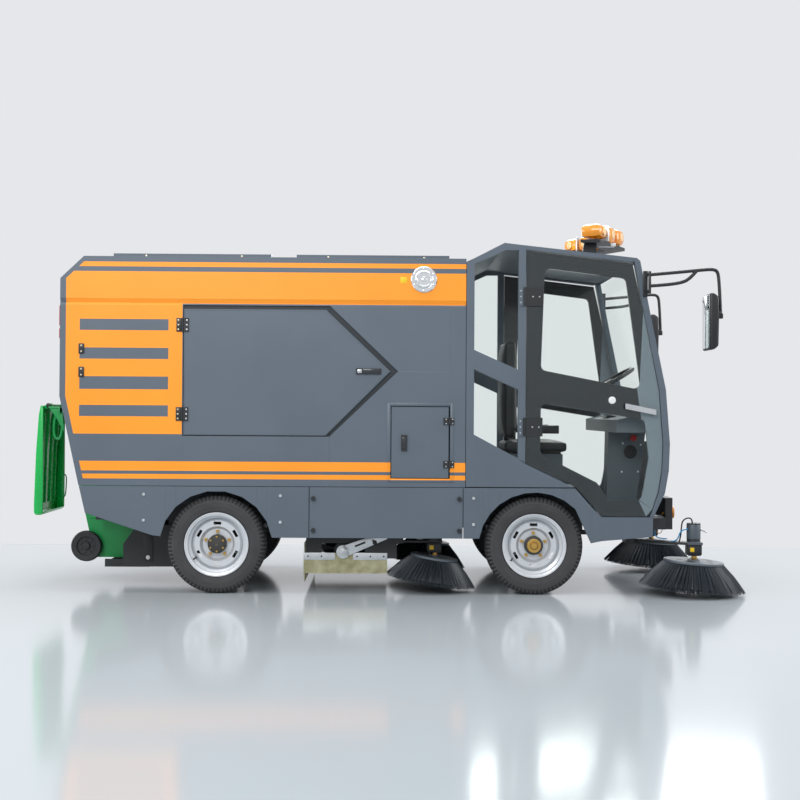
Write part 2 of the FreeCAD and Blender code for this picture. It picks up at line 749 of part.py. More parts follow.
node("beacon_lenses", *both(beacon_wing))
node(
    "beacon_base",
    prism("z", [(2640, 0), (2400, -430), (2275, -430), (2510, 0)], 2214, beacon_low - gap),
    prism("z", [(2640, 0), (2510, 0), (2275, 430), (2400, 430)], 2214, beacon_low - gap),
    *[prism("y", [(2290, roof_height(2290)), (2390, roof_height(2390)), (2390, 2214), (2310, 2214)],
            330 * side, 360 * side)
      for side in (-1, 1)],
)

# ---------------------------------------------------------------- mirrors
bracket_x = 2640


def mirror_arm(side):
    out = outer + 100
    arm = 11
    y = out * side
    wall = (outer + gap) * side
    top = [(bracket_x, 1975), (2995, 2010), (2999, 1988), (bracket_x, 1953)]
    corner = [(2995, 2010), (3050, 1965), (3030, 1953), (2999, 1988)]
    drop = [(3050, 1965), (3078, 1715), (3058, 1713), (3030, 1953)]
    brace = [(bracket_x, 1905), (2845, 1925), (2906, 1978), (2928, 1980), (2855, 1904), (bracket_x, 1884)]
    post = box((bracket_x - 16, bracket_x), (y - arm * side, y + arm * side), (1850, 1985))
    plate = box((bracket_x - 30, bracket_x + 2), (wall, wall + 8 * side), (1835, 2000))
    stays = [box((bracket_x - 16, bracket_x), (wall + 8 * side, y - arm * side), (low, low + 30))
             for low in (1850, 1955)]

    def flat(outline):
        return prism("y", outline, y - arm * side, y + arm * side)

    return [flat(top), flat(corner), flat(drop), flat(brace), post, plate] + stays


node("mirror_arms", *both(mirror_arm))
for hand, side in hands:
    middle = (outer + 100) * side
    shell = [(2979, 1504), (3004, 1504), (3039, 1530), (3039, 1830), (3004, 1852), (2979, 1852)]
    node(f"mirror_head_{hand}",
         prism("y", shell, middle - 95 * side, middle + 95 * side),
         box((2973, 2978.7), (middle - 88 * side, middle + 88 * side), (1514, 1842)),
         rod("z", 1722, 1742, (3047, middle), 7.5))

# ---------------------------------------------------------------- road wheels
half_tyre = size.tyre_width / 2
wheel_middle = size.wheel_out - half_tyre
flange = size.rim_radius


def rim_profile():
    barrel = [(flange, 78), (flange, 72), (184, 68), (182, 40), (166, 30), (166, -22), (182, -32),
              (184, -68), (flange, -72), (flange, -78), (190, -78), (190, -74), (178, -70), (176, -34),
              (160, -24), (160, 4)]
    disc = [(140, 22), (110, 22), (94, 0), (32, 0), (32, 8), (92, 8), (108, 30), (142, 30), (160, 14)]
    lip = [(160, 32), (176, 42), (178, 70), (190, 74), (190, 78)]
    return barrel + disc + lip


def tyre_profile():
    radius = size.tyre_radius
    wall = half_tyre
    half = [(184.4, 45), (184.4, 66), (flange + 1.5, 71), (206, 80), (235, wall), (262, wall - 1.5),
            (radius - 15, wall - 9), (radius - 3, wall - 21), (radius, wall - 32)]
    tread = [(radius, 30), (radius - 7, 28), (radius - 7, 22), (radius, 20), (radius, 4),
             (radius - 7, 3), (radius - 7, -3), (radius, -4), (radius, -20), (radius - 7, -22),
             (radius - 7, -28), (radius, -30)]
    lining = [(200, -52), (230, -74), (262, -72), (282, -60), (286, 0), (282, 60), (262, 72),
              (230, 74), (200, 52)]
    mirrored = [(r, -s) for r, s in reversed(half)]
    return half + tread + mirrored + lining


def wheel_set(x, side):
    """Tyre, and the rim with its slots, hub, cap and five wheel nuts."""
    axis = "y" if side > 0 else "-y"
    middle = wheel_middle * side
    centre = (x, middle, axle_z)
    tyre = turned(axis, centre, tyre_profile())
    slots = []
    slot_count = 6
    for i in range(slot_count):
        slot = doc.addObject("Part::Box", "slot")
        slot.Length = 18
        slot.Width = 46
        slot.Height = 60
        turn = FreeCAD.Rotation(FreeCAD.Vector(0, 0, 1), 360 / slot_count * i + 30)
        slot.Placement = FreeCAD.Placement(turn.multVec(FreeCAD.Vector(118, -23, 0)), turn)
        slots.append(slot)
    cutter = bundle(*slots)
    cutter.Placement.Rotation = turns[axis]
    place(cutter, *centre)
    rim = cut(turned(axis, centre, rim_profile()), cutter)
    hub_in = (size.wheel_out - size.tyre_width) * side
    hub = rod("y", hub_in, middle - gap * side, (x, axle_z), 90)
    cap = turned(axis, centre, [(0, 8.5), (size.hub_radius, 8.5), (size.hub_radius, 46), (44, 58), (0, 62)])
    nut_ring = bundle(*[nut(i) for i in range(5)])
    nut_ring.Placement.Rotation = turns[axis]
    place(nut_ring, *centre)
    return tyre, [rim, hub, cap, nut_ring]


def nut(index):
    piece = doc.addObject("Part::Prism", "nut")
    piece.Polygon = 6
    piece.Circumradius = 11
    piece.Height = 16
    turn = FreeCAD.Rotation(FreeCAD.Vector(0, 0, 1), 72 * index + 18)
    piece.Placement = FreeCAD.Placement(turn.multVec(FreeCAD.Vector(76, 0, 8.3)), turn)
    return piece


rear_sets = [wheel_set(0, side) for hand, side in hands]
node("rear_tyres", *[tyre for tyre, rim in rear_sets])
node("rear_rims", *[piece for tyre, rim in rear_sets for piece in rim])
for hand, side in hands:
    tyre, rim = wheel_set(front_axle_x, side)
    node(f"front_tyre_{hand}", tyre)
    node(f"front_rim_{hand}", *rim)
    hub_face = (size.wheel_out - size.tyre_width - gap) * side
    pin_y = size.kingpin_out * side
    node(f"steering_knuckle_{hand}",
         rod("y", hub_face, pin_y + 26 * side, (front_axle_x, axle_z), 52),
         box((front_axle_x - 24, front_axle_x + 24), (pin_y - 20 * side, pin_y + 26 * side),
             (axle_z - 65 + gap, axle_z + 65 - gap)))

# ---------------------------------------------------------------- roller brush
roller_spot = (size.roller_x, size.roller_height)
plate_y = size.roller_half + 40
housing_top = size.rail_low - gap


def housing_side(side):
    y = (plate_y * side, (plate_y - 8) * side)
    return [
        box((543, 1150), y, (300, housing_top - 10)),
        box((543, 640), y, (205, 300)),
        box((910, 1110), y, (205, 300)),
    ]


flap_x = (528, 1050)
node(
    "brush_housing",
    *both(housing_side),
    box((543, 1045), (-plate_y, -206), (housing_top - 10, housing_top)),
    box((543, 1045), (206, plate_y), (housing_top - 10, housing_top)),
    box((702, 1045), (-206, 206), (housing_top - 10, housing_top)),
)
node(
    "rubber_flaps",
    *[box(flap_x, ((plate_y + 4) * side, (plate_y + gap) * side), (112, 240)) for side in (-1, 1)],
    box((531, 537), (-plate_y, plate_y), (60, 300)),
)
arm_pivot = (1030, 350)
roller_arm_y = size.roller_half + 12


def roller_arm(side):
    y = (roller_arm_y * side, (roller_arm_y + 10) * side)
    hub_x, hub_z = roller_spot
    pivot_x, pivot_z = arm_pivot
    beam = [(hub_x - 8, hub_z + 22), (hub_x + 14, hub_z - 20), (pivot_x + 14, pivot_z - 20),
            (pivot_x - 8, pivot_z + 22)]
    return [prism("y", beam, *y)]


node("roller_arms", *both(roller_arm),
     rod("y", -(roller_arm_y - gap), roller_arm_y - gap, arm_pivot, 22))
node("roller_brush",
     rod("y", -size.roller_half, size.roller_half, roller_spot, size.roller_radius),
     *[rod("y", size.roller_half * side, (roller_arm_y - gap) * side, roller_spot, 30)
       for side in (-1, 1)])

# ---------------------------------------------------------------- side brushes
boss_radius = 42
boss_top = 44
spindle_radius = 36


def plate_height(radius, tilt, deep):
    """Height of the disc's underside that leaves the bristle gap under the lowest bristles."""
    turn = math.radians(tilt)
    return size.bristle_gap + (radius - 8) * math.sin(turn) + deep * math.cos(turn)


def spindle_foot(tilt):
    """How far above the disc's underside the upright spindle ends, and how far ahead the boss is."""
    turn = math.radians(tilt)
    return (boss_top * math.cos(turn) + spindle_radius * math.tan(turn) + gap,
            boss_top * math.sin(turn))


def brush_head(spot, radius, tilt, plate_radius, deep):
    """Disc with flared bristles, tilted so that its leading edge is lowest."""
    bristles = turned("z", (0, 0, 0), [(0, 0), (plate_radius * 0.9, 0), (radius, 22 - deep),
                                      (radius - 8, -deep), (radius * 0.45, -deep + 12), (0, -deep + 30)])
    disc = rod("z", gap, 16, (0, 0), plate_radius)
    boss = rod("z", 16, boss_top, (0, 0), boss_radius)
    head = bundle(bristles, disc, boss)
    head.Placement.Rotation = FreeCAD.Rotation(FreeCAD.Vector(0, 1, 0), tilt)
    x, y = spot
    place(head, x, y, plate_height(radius, tilt, deep))
    return head


for hand, side in hands:
    x, y = size.side_brush_x, size.side_brush_out * side
    foot, lead = spindle_foot(front_tilt)
    spindle_low = plate_height(size.side_brush_radius, front_tilt, front_bristles) + foot
    node(f"front_brush_{hand}",
         brush_head((x, y), size.side_brush_radius, front_tilt, 185, front_bristles))
    arm = [(2606.2, size.rail_outer * side + 40 * side), (2606.2, size.rail_outer * side + 110 * side),
           (x - 45, y + 45 * side), (x + 45, y + 45 * side), (x + 45, y - 45 * side), (x - 10, y - 45 * side)]
    node(f"front_brush_arm_{hand}",
         prism("z", arm, 306, 322),
         rod("y", (size.rail_outer + 24) * side, (size.rail_outer + 126) * side, (2590, 314), 16),
         rod("z", spindle_low, 306, (x + lead, y), spindle_radius),
         rod("z", 322, 440, (x, y), 42))
    x, y = size.mid_brush_x, size.mid_brush_out * side
    foot, lead = spindle_foot(middle_tilt)
    spindle_low = plate_height(size.mid_brush_radius, middle_tilt, middle_bristles) + foot
    node(f"middle_brush_{hand}",
         brush_head((x, y), size.mid_brush_radius, middle_tilt, 150, middle_bristles))
    node(f"middle_brush_arm_{hand}",
         box((1120, x + 52), (y - 30, y + 30), (300, 312)),
         rod("y", y - 40, y + 40, (1106, 310), 14),
         rod("z", spindle_low, 300, (x + lead, y), spindle_radius),
         rod("z", 312, 375, (x, y), 50))
frame_pieces += [
    *[box((2560, 2572), (size.rail_outer * side, (size.rail_outer + 130) * side), (300, 460))
      for side in (-1, 1)],
    *[box((2572, 2612), (near * side, (near + 12) * side), (296, 340))
      for side in (-1, 1) for near in (392, 506.5)],
    *[box((1052.3, 1090), ((size.rail_outer + gap) * side, (size.mid_brush_out + 60) * side), (330, 450))
      for side in (-1, 1)],
    *[box((1090, 1122), (near * side, (near + 12) * side), (292, 400))
      for side in (-1, 1) for near in (467, 560.5)],
]

# ---------------------------------------------------------------- waste bin
floor_z = size.bin_low
top_z = size.bin_top
rear_top, front_top = -size.bin_hinge_x + 108, -480
rear_low, front_low = -850, -520
wall = size.bin_wall
half_top, half_low = size.bin_half, size.bin_half - 45


def bin_side(side):
    section = [(half_low * side, floor_z), (half_top * side, top_z), ((half_top - wall) * side, top_z),
               ((half_low - wall) * side, floor_z)]
    slab = prism("x", section, rear_top, front_top)
    keep = prism("y", [(rear_low, floor_z), (front_low, floor_z), (front_top, top_z), (rear_top, top_z)],
                 -400, 400)
    common = doc.addObject("Part::Common", "trimmed")
    common.Base = slab
    common.Tool = keep
    return [common]


inner_half = half_low - wall
rear_wall = [(rear_low, floor_z), (rear_top, top_z), (rear_top + wall, top_z), (rear_low + wall, floor_z)]
front_wall = [(front_low, floor_z), (front_top, top_z), (front_top - wall, top_z), (front_low - wall, floor_z)]
hinge_x, hinge_z = -size.bin_hinge_x, size.bin_top + 9


def wall_at(height):
    """X of the outside of the bin's rear wall."""
    return rear_low + (rear_top - rear_low) * ((height - floor_z) / (top_z - floor_z))


def end_wall(outline):
    """Bin end wall that widens upwards with the side walls."""
    slab = prism("y", outline, -half_top, half_top)
    keep = prism("x", [(-inner_half, floor_z), (inner_half, floor_z), (half_top - wall, top_z),
                       (wall - half_top, top_z)], rear_top - 50, front_top + 50)
    common = doc.addObject("Part::Common", "trimmed")
    common.Base = slab
    common.Tool = keep
    return common


node(
    "bin_body",
    *both(bin_side),
    end_wall(rear_wall),
    end_wall(front_wall),
    box((rear_low + wall + gap, front_low - wall - gap), (gap - inner_half, inner_half - gap),
        (floor_z, floor_z + wall)),
    *[box((hinge_x - 4, rear_top - 0.3), (y - 20, y + 20), (hinge_z - 40, hinge_z - 8.3))
      for y in (-150, 150)],
    *[prism("y", [(-884.7, 231), (wall_at(231), 231), (wall_at(251), 251), (-884.7, 251)], y - 20, y + 20)
      for y in (-150, 150)],
    rod("y", -180, 180, (hinge_x, hinge_z), 8),
    box((-640, -560), (-200, 200), (size.bin_low - 24 + gap, size.bin_low - gap)),
)
lid_long = 715
lid_x = hinge_x - 8.4
lid = [(lid_x, hinge_z + 4), (lid_x, hinge_z + 4 - lid_long), (lid_x - 42, hinge_z + 4 - lid_long),
       (lid_x - lid_depth, hinge_z - 300), (lid_x - 30, hinge_z + 4)]
lid_half = size.bin_half + 5
node("bin_lid", prism("y", lid, -lid_half, lid_half))
bin_axle = (-895, 241)
node("bin_wheels",
     *[rod("y", (half_low + 16) * side, (half_low + 58) * side, bin_axle, size.bin_wheel) for side in (-1, 1)],
     rod("y", -(half_low + 16), half_low + 16, bin_axle, 10))
platform_z = 241 - size.bin_wheel - gap
platform_rear = -768


def cradle_side(side):
    wide = (size.rail_inner + 2) * side
    return [
        box((platform_rear, -480), (wide, wide + 8 * side), (platform_z - 28, platform_z + 22)),
        prism("y", [(-640, platform_z + 22), (-480, platform_z + 22), (-480, size.rail_low),
                    (-560, size.rail_low)], wide, wide + 8 * side),
        prism("y", [(-636, 123), (-240, 123), (-240, 389), (-548, 389), (-636, 268)],
              (size.rail_outer + 4) * side, (size.rail_outer + 12) * side),
        box((-566, -536), ((size.rail_outer - 30) * side, (size.rail_outer + 4) * side), (350, 419.8)),
    ]


cradle_half = size.rail_inner + 2
frame_pieces += both(cradle_side)
frame_pieces.append(box((platform_rear, -480), (-cradle_half, cradle_half),
                        (platform_z - 12, platform_z)))
node("chassis_frame", *frame_pieces)

# ---------------------------------------------------------------- doors of the rear body
body_pin_y = outer + 6.5


def latch(x, z, side, long):
    y = (outer + gap) * side
    return box((x - long / 2, x + long / 2), (y, y + 10 * side), (z - 17, z + 17))


for hand, side in hands:
    leaf_y = (outer * side, (outer - size.leaf_gauge) * side)
    channel = size.door_channel
    left = 5 - size.door_left
    pin_x = left - 8
    low, high, middle = size.door_low + 6, size.door_high - channel, size.door_middle
    tip = size.door_tip - channel * 2
    shoulder = size.door_shoulder - channel
    leaf = prism("y", [(left, low), (shoulder, low), (tip, middle), (shoulder, high), (left, high)], *leaf_y)
    hinges = []
    for z in (1100, 1646):
        plate_y_limits = ((outer + gap) * side, (outer + 5) * side)
        hinges.append(box((pin_x + 6.5, pin_x + 38), plate_y_limits, (z - 42, z + 42)))
        hinges.append(rod("z", z - 42, z + 42, (pin_x, body_pin_y * side), 6))
    node(f"service_door_{hand}", leaf, latch(928, middle, side, 154), *hinges)
hatch_pin = size.hatch_front - 1
node("access_door",
     box((size.hatch_rear + 4, size.hatch_front - 8), (-outer, -outer + size.leaf_gauge),
         (size.hatch_low + 4, size.hatch_high - 4)),
     *[box((hatch_pin - 40, hatch_pin - 6.5), (-outer - gap, -outer - 5), (z - 22, z + 22))
       for z in (800, 1064)],
     *[rod("z", z - 22, z + 22, (hatch_pin, -body_pin_y), 6) for z in (800, 1064)],
     box((1130, 1166), (-outer - gap, -outer - 10), (882, 980)))

# ---------------------------------------------------------------- build, test and export
doc.recompute()
for item in doc.Objects:
    if "Invalid" in item.State or "Error" in item.State:
        raise RuntimeError(f"{item.Name} did not build: {item.State}")
os.makedirs("parts", exist_ok=True)
for part in nodes:
    shape = part.Shape
    if shape.isNull() or not shape.isValid() or not shape.Solids:
        raise RuntimeError(f"{part.Label} has no valid solid")
    shape.exportStep(f"parts/{part.Label}.step")
print(len(nodes), "nodes written")
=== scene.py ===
import bpy
import bmesh
import math
import random

from mathutils import Matrix, Vector


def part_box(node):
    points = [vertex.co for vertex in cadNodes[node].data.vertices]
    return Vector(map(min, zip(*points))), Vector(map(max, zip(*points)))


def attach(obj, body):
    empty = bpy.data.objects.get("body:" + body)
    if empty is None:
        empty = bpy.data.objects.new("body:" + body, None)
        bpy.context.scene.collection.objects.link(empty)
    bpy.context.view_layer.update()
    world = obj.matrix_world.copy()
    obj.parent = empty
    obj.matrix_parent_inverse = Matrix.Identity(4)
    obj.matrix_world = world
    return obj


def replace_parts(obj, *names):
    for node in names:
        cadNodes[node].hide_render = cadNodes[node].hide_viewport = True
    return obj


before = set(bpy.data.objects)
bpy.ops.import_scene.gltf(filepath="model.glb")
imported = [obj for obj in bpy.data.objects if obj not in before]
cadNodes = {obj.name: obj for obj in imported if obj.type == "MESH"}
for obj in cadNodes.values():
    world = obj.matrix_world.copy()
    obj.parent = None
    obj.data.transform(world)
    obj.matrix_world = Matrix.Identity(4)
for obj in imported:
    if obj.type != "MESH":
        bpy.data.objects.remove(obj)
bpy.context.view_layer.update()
random.seed(7)
print("frame loaded")

# every place below is in millimetres from the rear axle, as the sheet metal drawings have it
rearLow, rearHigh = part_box("rear_tyres")
rearAxle = (rearLow.x + rearHigh.x) / 2
frontLow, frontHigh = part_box("front_tyre_right")
frontAxle = (frontLow.x + frontHigh.x) / 2
axleHeight = (rearLow.z + rearHigh.z) / 2
wheelbase = (frontAxle - rearAxle) * 1000  # millimetres
sidePlane = -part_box("body_sides")[0].y
sides = (("right", -1), ("left", 1))


def at(x, y, z):
    return Vector((rearAxle + x / 1000, y / 1000, z / 1000))


# materials


def colour(hexText):
    # sRGB hex to the linear numbers a shader takes
    parts = [int(hexText[i:i + 2], 16) / 255 for i in (1, 3, 5)]
    linear = [p / 12.92 if p <= 0.04045 else ((p + 0.055) / 1.055) ** 2.4 for p in parts]
    return (*linear, 1.0)


def addNode(tree, kind, inputs=None, **settings):
    node = tree.nodes.new("ShaderNode" + kind)
    for name, value in settings.items():
        setattr(node, name, value)
    for name, value in (inputs or {}).items():
        socket = node.inputs[name]
        if isinstance(value, bpy.types.Node):
            value = value.outputs[0]
        if isinstance(value, bpy.types.NodeSocket):
            tree.links.new(value, socket)
        else:
            socket.default_value = value
    return node


def startMaterial(name, **settings):
    # settings are the shader's own sockets, with underscores for spaces
    material = bpy.data.materials.new(name)
    material.use_nodes = True
    tree = material.node_tree
    shader = tree.nodes["Principled BSDF"]
    for key, value in settings.items():
        shader.inputs[key.replace("_", " ")].default_value = value
    return material, tree, shader


def speckled(tree, base, other, scale, amount, detail=3.0):
    # base drifting towards other in soft patches, scale in patches per metre
    place = addNode(tree, "TexCoord").outputs["Object"]
    noise = addNode(tree, "TexNoise", {"Vector": place, "Scale": scale, "Detail": detail})
    spread = addNode(tree, "Math", {0: noise.outputs["Fac"], 1: amount}, operation="MULTIPLY")
    mix = addNode(tree, "Mix", {0: spread, 6: base, 7: other}, data_type="RGBA")
    return mix.outputs[2]


def grainNormal(tree, scale, strength, distance, edge=0.0):
    place = addNode(tree, "TexCoord").outputs["Object"]
    noise = addNode(tree, "TexNoise", {"Vector": place, "Scale": scale, "Detail": 4.0})
    links = {"Strength": strength, "Distance": distance, "Height": noise.outputs["Fac"]}
    if edge:  # folded sheet has a small radius that catches the light
        links["Normal"] = addNode(tree, "Bevel", {"Radius": edge}, samples=4).outputs["Normal"]
    return addNode(tree, "Bump", links).outputs["Normal"]


def plainMaterial(name, base, shade, roughness, grain=(60.0, 0.15, 0.0006), patches=(3.0, 0.5),
                  edge=0.0, **settings):
    material, tree, shader = startMaterial(name, **settings)
    tint = speckled(tree, colour(base), colour(shade), *patches)
    tree.links.new(tint, shader.inputs["Base Color"])
    place = addNode(tree, "TexCoord").outputs["Object"]
    wear = addNode(tree, "TexNoise", {"Vector": place, "Scale": grain[0] / 6, "Detail": 3.0})
    rough = addNode(tree, "MapRange", {"Value": wear.outputs["Fac"], 3: roughness - 0.05,
                                       4: roughness + 0.07})
    tree.links.new(rough.outputs[0], shader.inputs["Roughness"])
    tree.links.new(grainNormal(tree, *grain, edge=edge), shader.inputs["Normal"])
    return material


# the recess colour is a near-black painted shade for faces sunk into the body side
paint = {
    "slate": "#59646F", "slateShade": "#4B5661", "orange": "#F79A1E", "orangeShade": "#EE8A12",
    "recessShade": "#1C242B", "roughness": 0.42, "grainPerMetre": 150.0,
}
# heights in mm where the colour changes, from the skirt seam upwards; True is orange
sideBands = [(0, False), (695, True), (724, False), (746, True), (802, False), (1768, True),
             (1970, False), (1996, True), (2026, False)]
panelStripes = [(0, False), (975, True), (1075, False), (1151, True), (1250, False), (1323, True),
                (1427, False), (1500, True), (1608, False), (1678, True), (1775, False)]
panelPlain = [(0, False), (975, True), (1775, False)]
panelSpan = (-926, -214)
stripeSpan = (-841, -299)
rampTop = 2500  # height that the colour bands are measured against
# slate border along the rear edge of the side, which slopes in above and below; slopes are run to rise
rearTrim = {"edge": -962, "kneeHeight": 1.206, "kneeSlope": 0.2216, "shoulderHeight": 1.928,
            "shoulderSlope": 1.0511, "width": 0.036}
grooveDepth = 0.0113


def bandMask(tree, height, bands):
    # 1 where the band at this height is orange
    share = addNode(tree, "Math", {0: height, 1: rampTop / 1000}, operation="DIVIDE")
    ramp = addNode(tree, "ValToRGB", {"Fac": share})
    ramp.color_ramp.interpolation = "CONSTANT"
    stops = ramp.color_ramp.elements
    stops.remove(stops[1])
    for i, (level, orange) in enumerate(bands):
        stop = stops[0] if i == 0 else stops.new(level / rampTop)
        stop.position = level / rampTop
        stop.color = (1, 1, 1, 1) if orange else (0, 0, 0, 1)
    return ramp.outputs["Color"]


def between(tree, value, low, high):
    above = addNode(tree, "Math", {0: value, 1: low}, operation="GREATER_THAN")
    below = addNode(tree, "Math", {0: value, 1: high}, operation="LESS_THAN")
    return addNode(tree, "Math", {0: above, 1: below}, operation="MULTIPLY")


def stripedPaint():
    # powder-coated sheet steel, sprayed slate over orange: satin, with the fine orange peel of
    # baked powder. The peel is about 0.5 mm, drawn near 7 mm so that it shows at this size
    material, tree, shader = startMaterial("stripedPowderCoat")
    place = addNode(tree, "TexCoord").outputs["Object"]
    split = addNode(tree, "SeparateXYZ", {0: place})
    x, y, z = split.outputs
    onPanel = between(tree, x, at(panelSpan[0], 0, 0).x, at(panelSpan[1], 0, 0).x)
    onStripes = between(tree, x, at(stripeSpan[0], 0, 0).x, at(stripeSpan[1], 0, 0).x)
    plain = addNode(tree, "Math", {0: bandMask(tree, z, panelPlain), 1: onPanel}, operation="MULTIPLY")
    offStripes = addNode(tree, "Math", {0: 1.0, 1: onStripes}, operation="SUBTRACT")
    striped = addNode(tree, "Math", {0: bandMask(tree, z, panelStripes), 1: offStripes},
                      operation="MAXIMUM")
    withStripes = addNode(tree, "Math", {0: plain, 1: striped}, operation="MULTIPLY")
    orange = addNode(tree, "Math", {0: bandMask(tree, z, sideBands), 1: withStripes},
                     operation="MAXIMUM")
    edge = at(rearTrim["edge"], 0, 0).x
    belowKnee = addNode(tree, "Math", {0: rearTrim["kneeHeight"], 1: z}, operation="SUBTRACT")
    knee = addNode(tree, "Math", {0: belowKnee, 1: rearTrim["kneeSlope"], 2: edge},
                   operation="MULTIPLY_ADD")
    aboveShoulder = addNode(tree, "Math", {0: z, 1: rearTrim["shoulderHeight"]}, operation="SUBTRACT")
    shoulder = addNode(tree, "Math", {0: aboveShoulder, 1: rearTrim["shoulderSlope"], 2: edge},
                       operation="MULTIPLY_ADD")
    sloped = addNode(tree, "Math", {0: knee, 1: shoulder}, operation="MAXIMUM")
    rearEdge = addNode(tree, "Math", {0: sloped, 1: edge}, operation="MAXIMUM")
    trimEnd = addNode(tree, "Math", {0: rearEdge, 1: rearTrim["width"]}, operation="ADD")
    inner = addNode(tree, "Math", {0: x, 1: trimEnd}, operation="GREATER_THAN")
    orange = addNode(tree, "Math", {0: orange, 1: inner}, operation="MULTIPLY")
    slateTint = speckled(tree, colour(paint["slate"]), colour(paint["slateShade"]), 2.5, 0.8)
    orangeTint = speckled(tree, colour(paint["orange"]), colour(paint["orangeShade"]), 2.5, 0.8)
    skin = addNode(tree, "Mix", {0: orange, 6: slateTint, 7: orangeTint}, data_type="RGBA")
    # faces sunk deeper than the grooves, in the door jambs and recesses, get the near-black painted shade
    outwards = addNode(tree, "Math", {0: y}, operation="ABSOLUTE")
    inShadedRecess = addNode(tree, "Math", {0: outwards, 1: sidePlane - grooveDepth}, operation="LESS_THAN")
    both = addNode(tree, "Mix", {0: inShadedRecess, 6: skin.outputs[2], 7: colour(paint["recessShade"])},
                   data_type="RGBA")
    tree.links.new(both.outputs[2], shader.inputs["Base Color"])
    shader.inputs["Roughness"].default_value = paint["roughness"]
    normal = grainNormal(tree, paint["grainPerMetre"], 0.12, 0.0008, edge=0.004)
    tree.links.new(normal, shader.inputs["Normal"])
    return material


# ribs round the tyre, radii of the ribbed shoulder and of the ringed wall, rings per metre times tau
tread = {"ribs": 72.0, "shoulder": (0.272, 0.303), "wall": (0.205, 0.262), "rings": 900.0}


def tyreRubber(name, centreX):
    # carbon-black rubber, moulded: nearly black, dusty on the tread, with radial ribs on the
    # shoulders and fine rings round the wall; the sunken parts of the ribs are darker, a painted shade
    material, tree, shader = startMaterial(name)
    place = addNode(tree, "TexCoord").outputs["Object"]
    moved = addNode(tree, "Mapping", {0: place, 1: (-centreX, 0, -axleHeight)})
    x, y, z = addNode(tree, "SeparateXYZ", {0: moved.outputs[0]}).outputs
    angle = addNode(tree, "Math", {0: z, 1: x}, operation="ARCTAN2")
    ribTurn = addNode(tree, "Math", {0: angle, 1: tread["ribs"]}, operation="MULTIPLY")
    ribs = addNode(tree, "Math", {0: ribTurn}, operation="SINE")
    alongX = addNode(tree, "Math", {0: x, 1: x}, operation="MULTIPLY")
    square = addNode(tree, "Math", {0: z, 1: z, 2: alongX}, operation="MULTIPLY_ADD")
    radius = addNode(tree, "Math", {0: square}, operation="SQRT")
    shoulder = between(tree, radius, *tread["shoulder"])
    ringTurn = addNode(tree, "Math", {0: radius, 1: tread["rings"]}, operation="MULTIPLY")
    rings = addNode(tree, "Math", {0: ringTurn}, operation="SINE")
    onWall = addNode(tree, "Math", {0: rings, 1: between(tree, radius, *tread["wall"])},
                     operation="MULTIPLY")
    cut = addNode(tree, "Math", {0: ribs, 1: -0.4}, operation="MAXIMUM")
    onShoulder = addNode(tree, "Math", {0: cut, 1: shoulder}, operation="MULTIPLY")
    height = addNode(tree, "Math", {0: onWall, 1: 0.22, 2: onShoulder}, operation="MULTIPLY_ADD")
    bump = addNode(tree, "Bump", {"Strength": 0.9, "Distance": 0.004, "Height": height})
    tree.links.new(bump.outputs["Normal"], shader.inputs["Normal"])
    # painted shade: the low parts of the shoulder ribs take a darker colour than the dusty rubber
    low = addNode(tree, "Math", {0: ribs, 1: -0.35}, operation="LESS_THAN")
    grooveShade = addNode(tree, "Math", {0: low, 1: shoulder}, operation="MULTIPLY")
    dust = speckled(tree, colour("#2E2E30"), colour("#454547"), 9.0, 0.9)
    tint = addNode(tree, "Mix", {0: grooveShade, 6: dust, 7: colour("#17171A")}, data_type="RGBA")
    tree.links.new(tint.outputs[2], shader.inputs["Base Color"])
    shader.inputs["Roughness"].default_value = 0.72
    return material


def clearGlass(name, tint, gloss):
    # flat float glass: clear, a faint green-grey, with a soft sheen that grows at a slant
    material, tree, shader = startMaterial(name)
    tree.nodes.remove(shader)
    through = addNode(tree, "BsdfTransparent", {"Color": colour(tint)})
    sheen = addNode(tree, "BsdfGlossy", {"Color": (1, 1, 1, 1), "Roughness": 0.14})
    inner = addNode(tree, "NewGeometry").outputs["Backfacing"]
    facing = addNode(tree, "Math", {0: 1.0, 1: inner}, operation="SUBTRACT")
    rise = addNode(tree, "Math", {0: addNode(tree, "Fresnel", {"IOR": 1.52}), 1: gloss},
                   operation="MULTIPLY")
    # the far face of a pane only lets light out
    share = addNode(tree, "Math", {0: rise, 1: facing}, operation="MULTIPLY")
    mix = addNode(tree, "MixShader", {0: share, 1: through.outputs[0], 2: sheen.outputs[0]})
    tree.links.new(mix.outputs[0], tree.nodes["Material Output"].inputs["Surface"])
    return material


# powder coat on sheet steel: satin slate, with soft patches and a bright folded edge
slatePaint = plainMaterial("slatePowderCoat", paint["slate"], paint["slateShade"], paint["roughness"],
                           (paint["grainPerMetre"], 0.12, 0.0008), (2.5, 0.8), edge=0.004)
sidePaint = stripedPaint()
# air-dried chassis enamel: dull black with a film of dust
blackPaint = plainMaterial("blackChassisPaint", "#26292C", "#1B1D20", 0.5, (90.0, 0.2, 0.0008),
                           (6.0, 0.8), edge=0.003)
# stoved enamel under lacquer: deep black that mirrors softly
doorBlack = plainMaterial("blackDoorEnamel", "#1A2026", "#12171C", 0.22, (60.0, 0.05, 0.0004),
                          (4.0, 0.6), edge=0.003, Coat_Weight=0.5, Coat_Roughness=0.08)
# inside paint: flat and darker than the outside
darkPaint = plainMaterial("insideDarkPaint", "#3B4249", "#30363C", 0.55, edge=0.003)
# wheel enamel with metal flake: bright silver, soft highlights
silverPaint = plainMaterial("silverWheelEnamel", "#D2D5D9", "#C0C4C9", 0.3, (120.0, 0.1, 0.0006),
                            (8.0, 0.8), edge=0.002, Metallic=0.35, Coat_Weight=0.3)
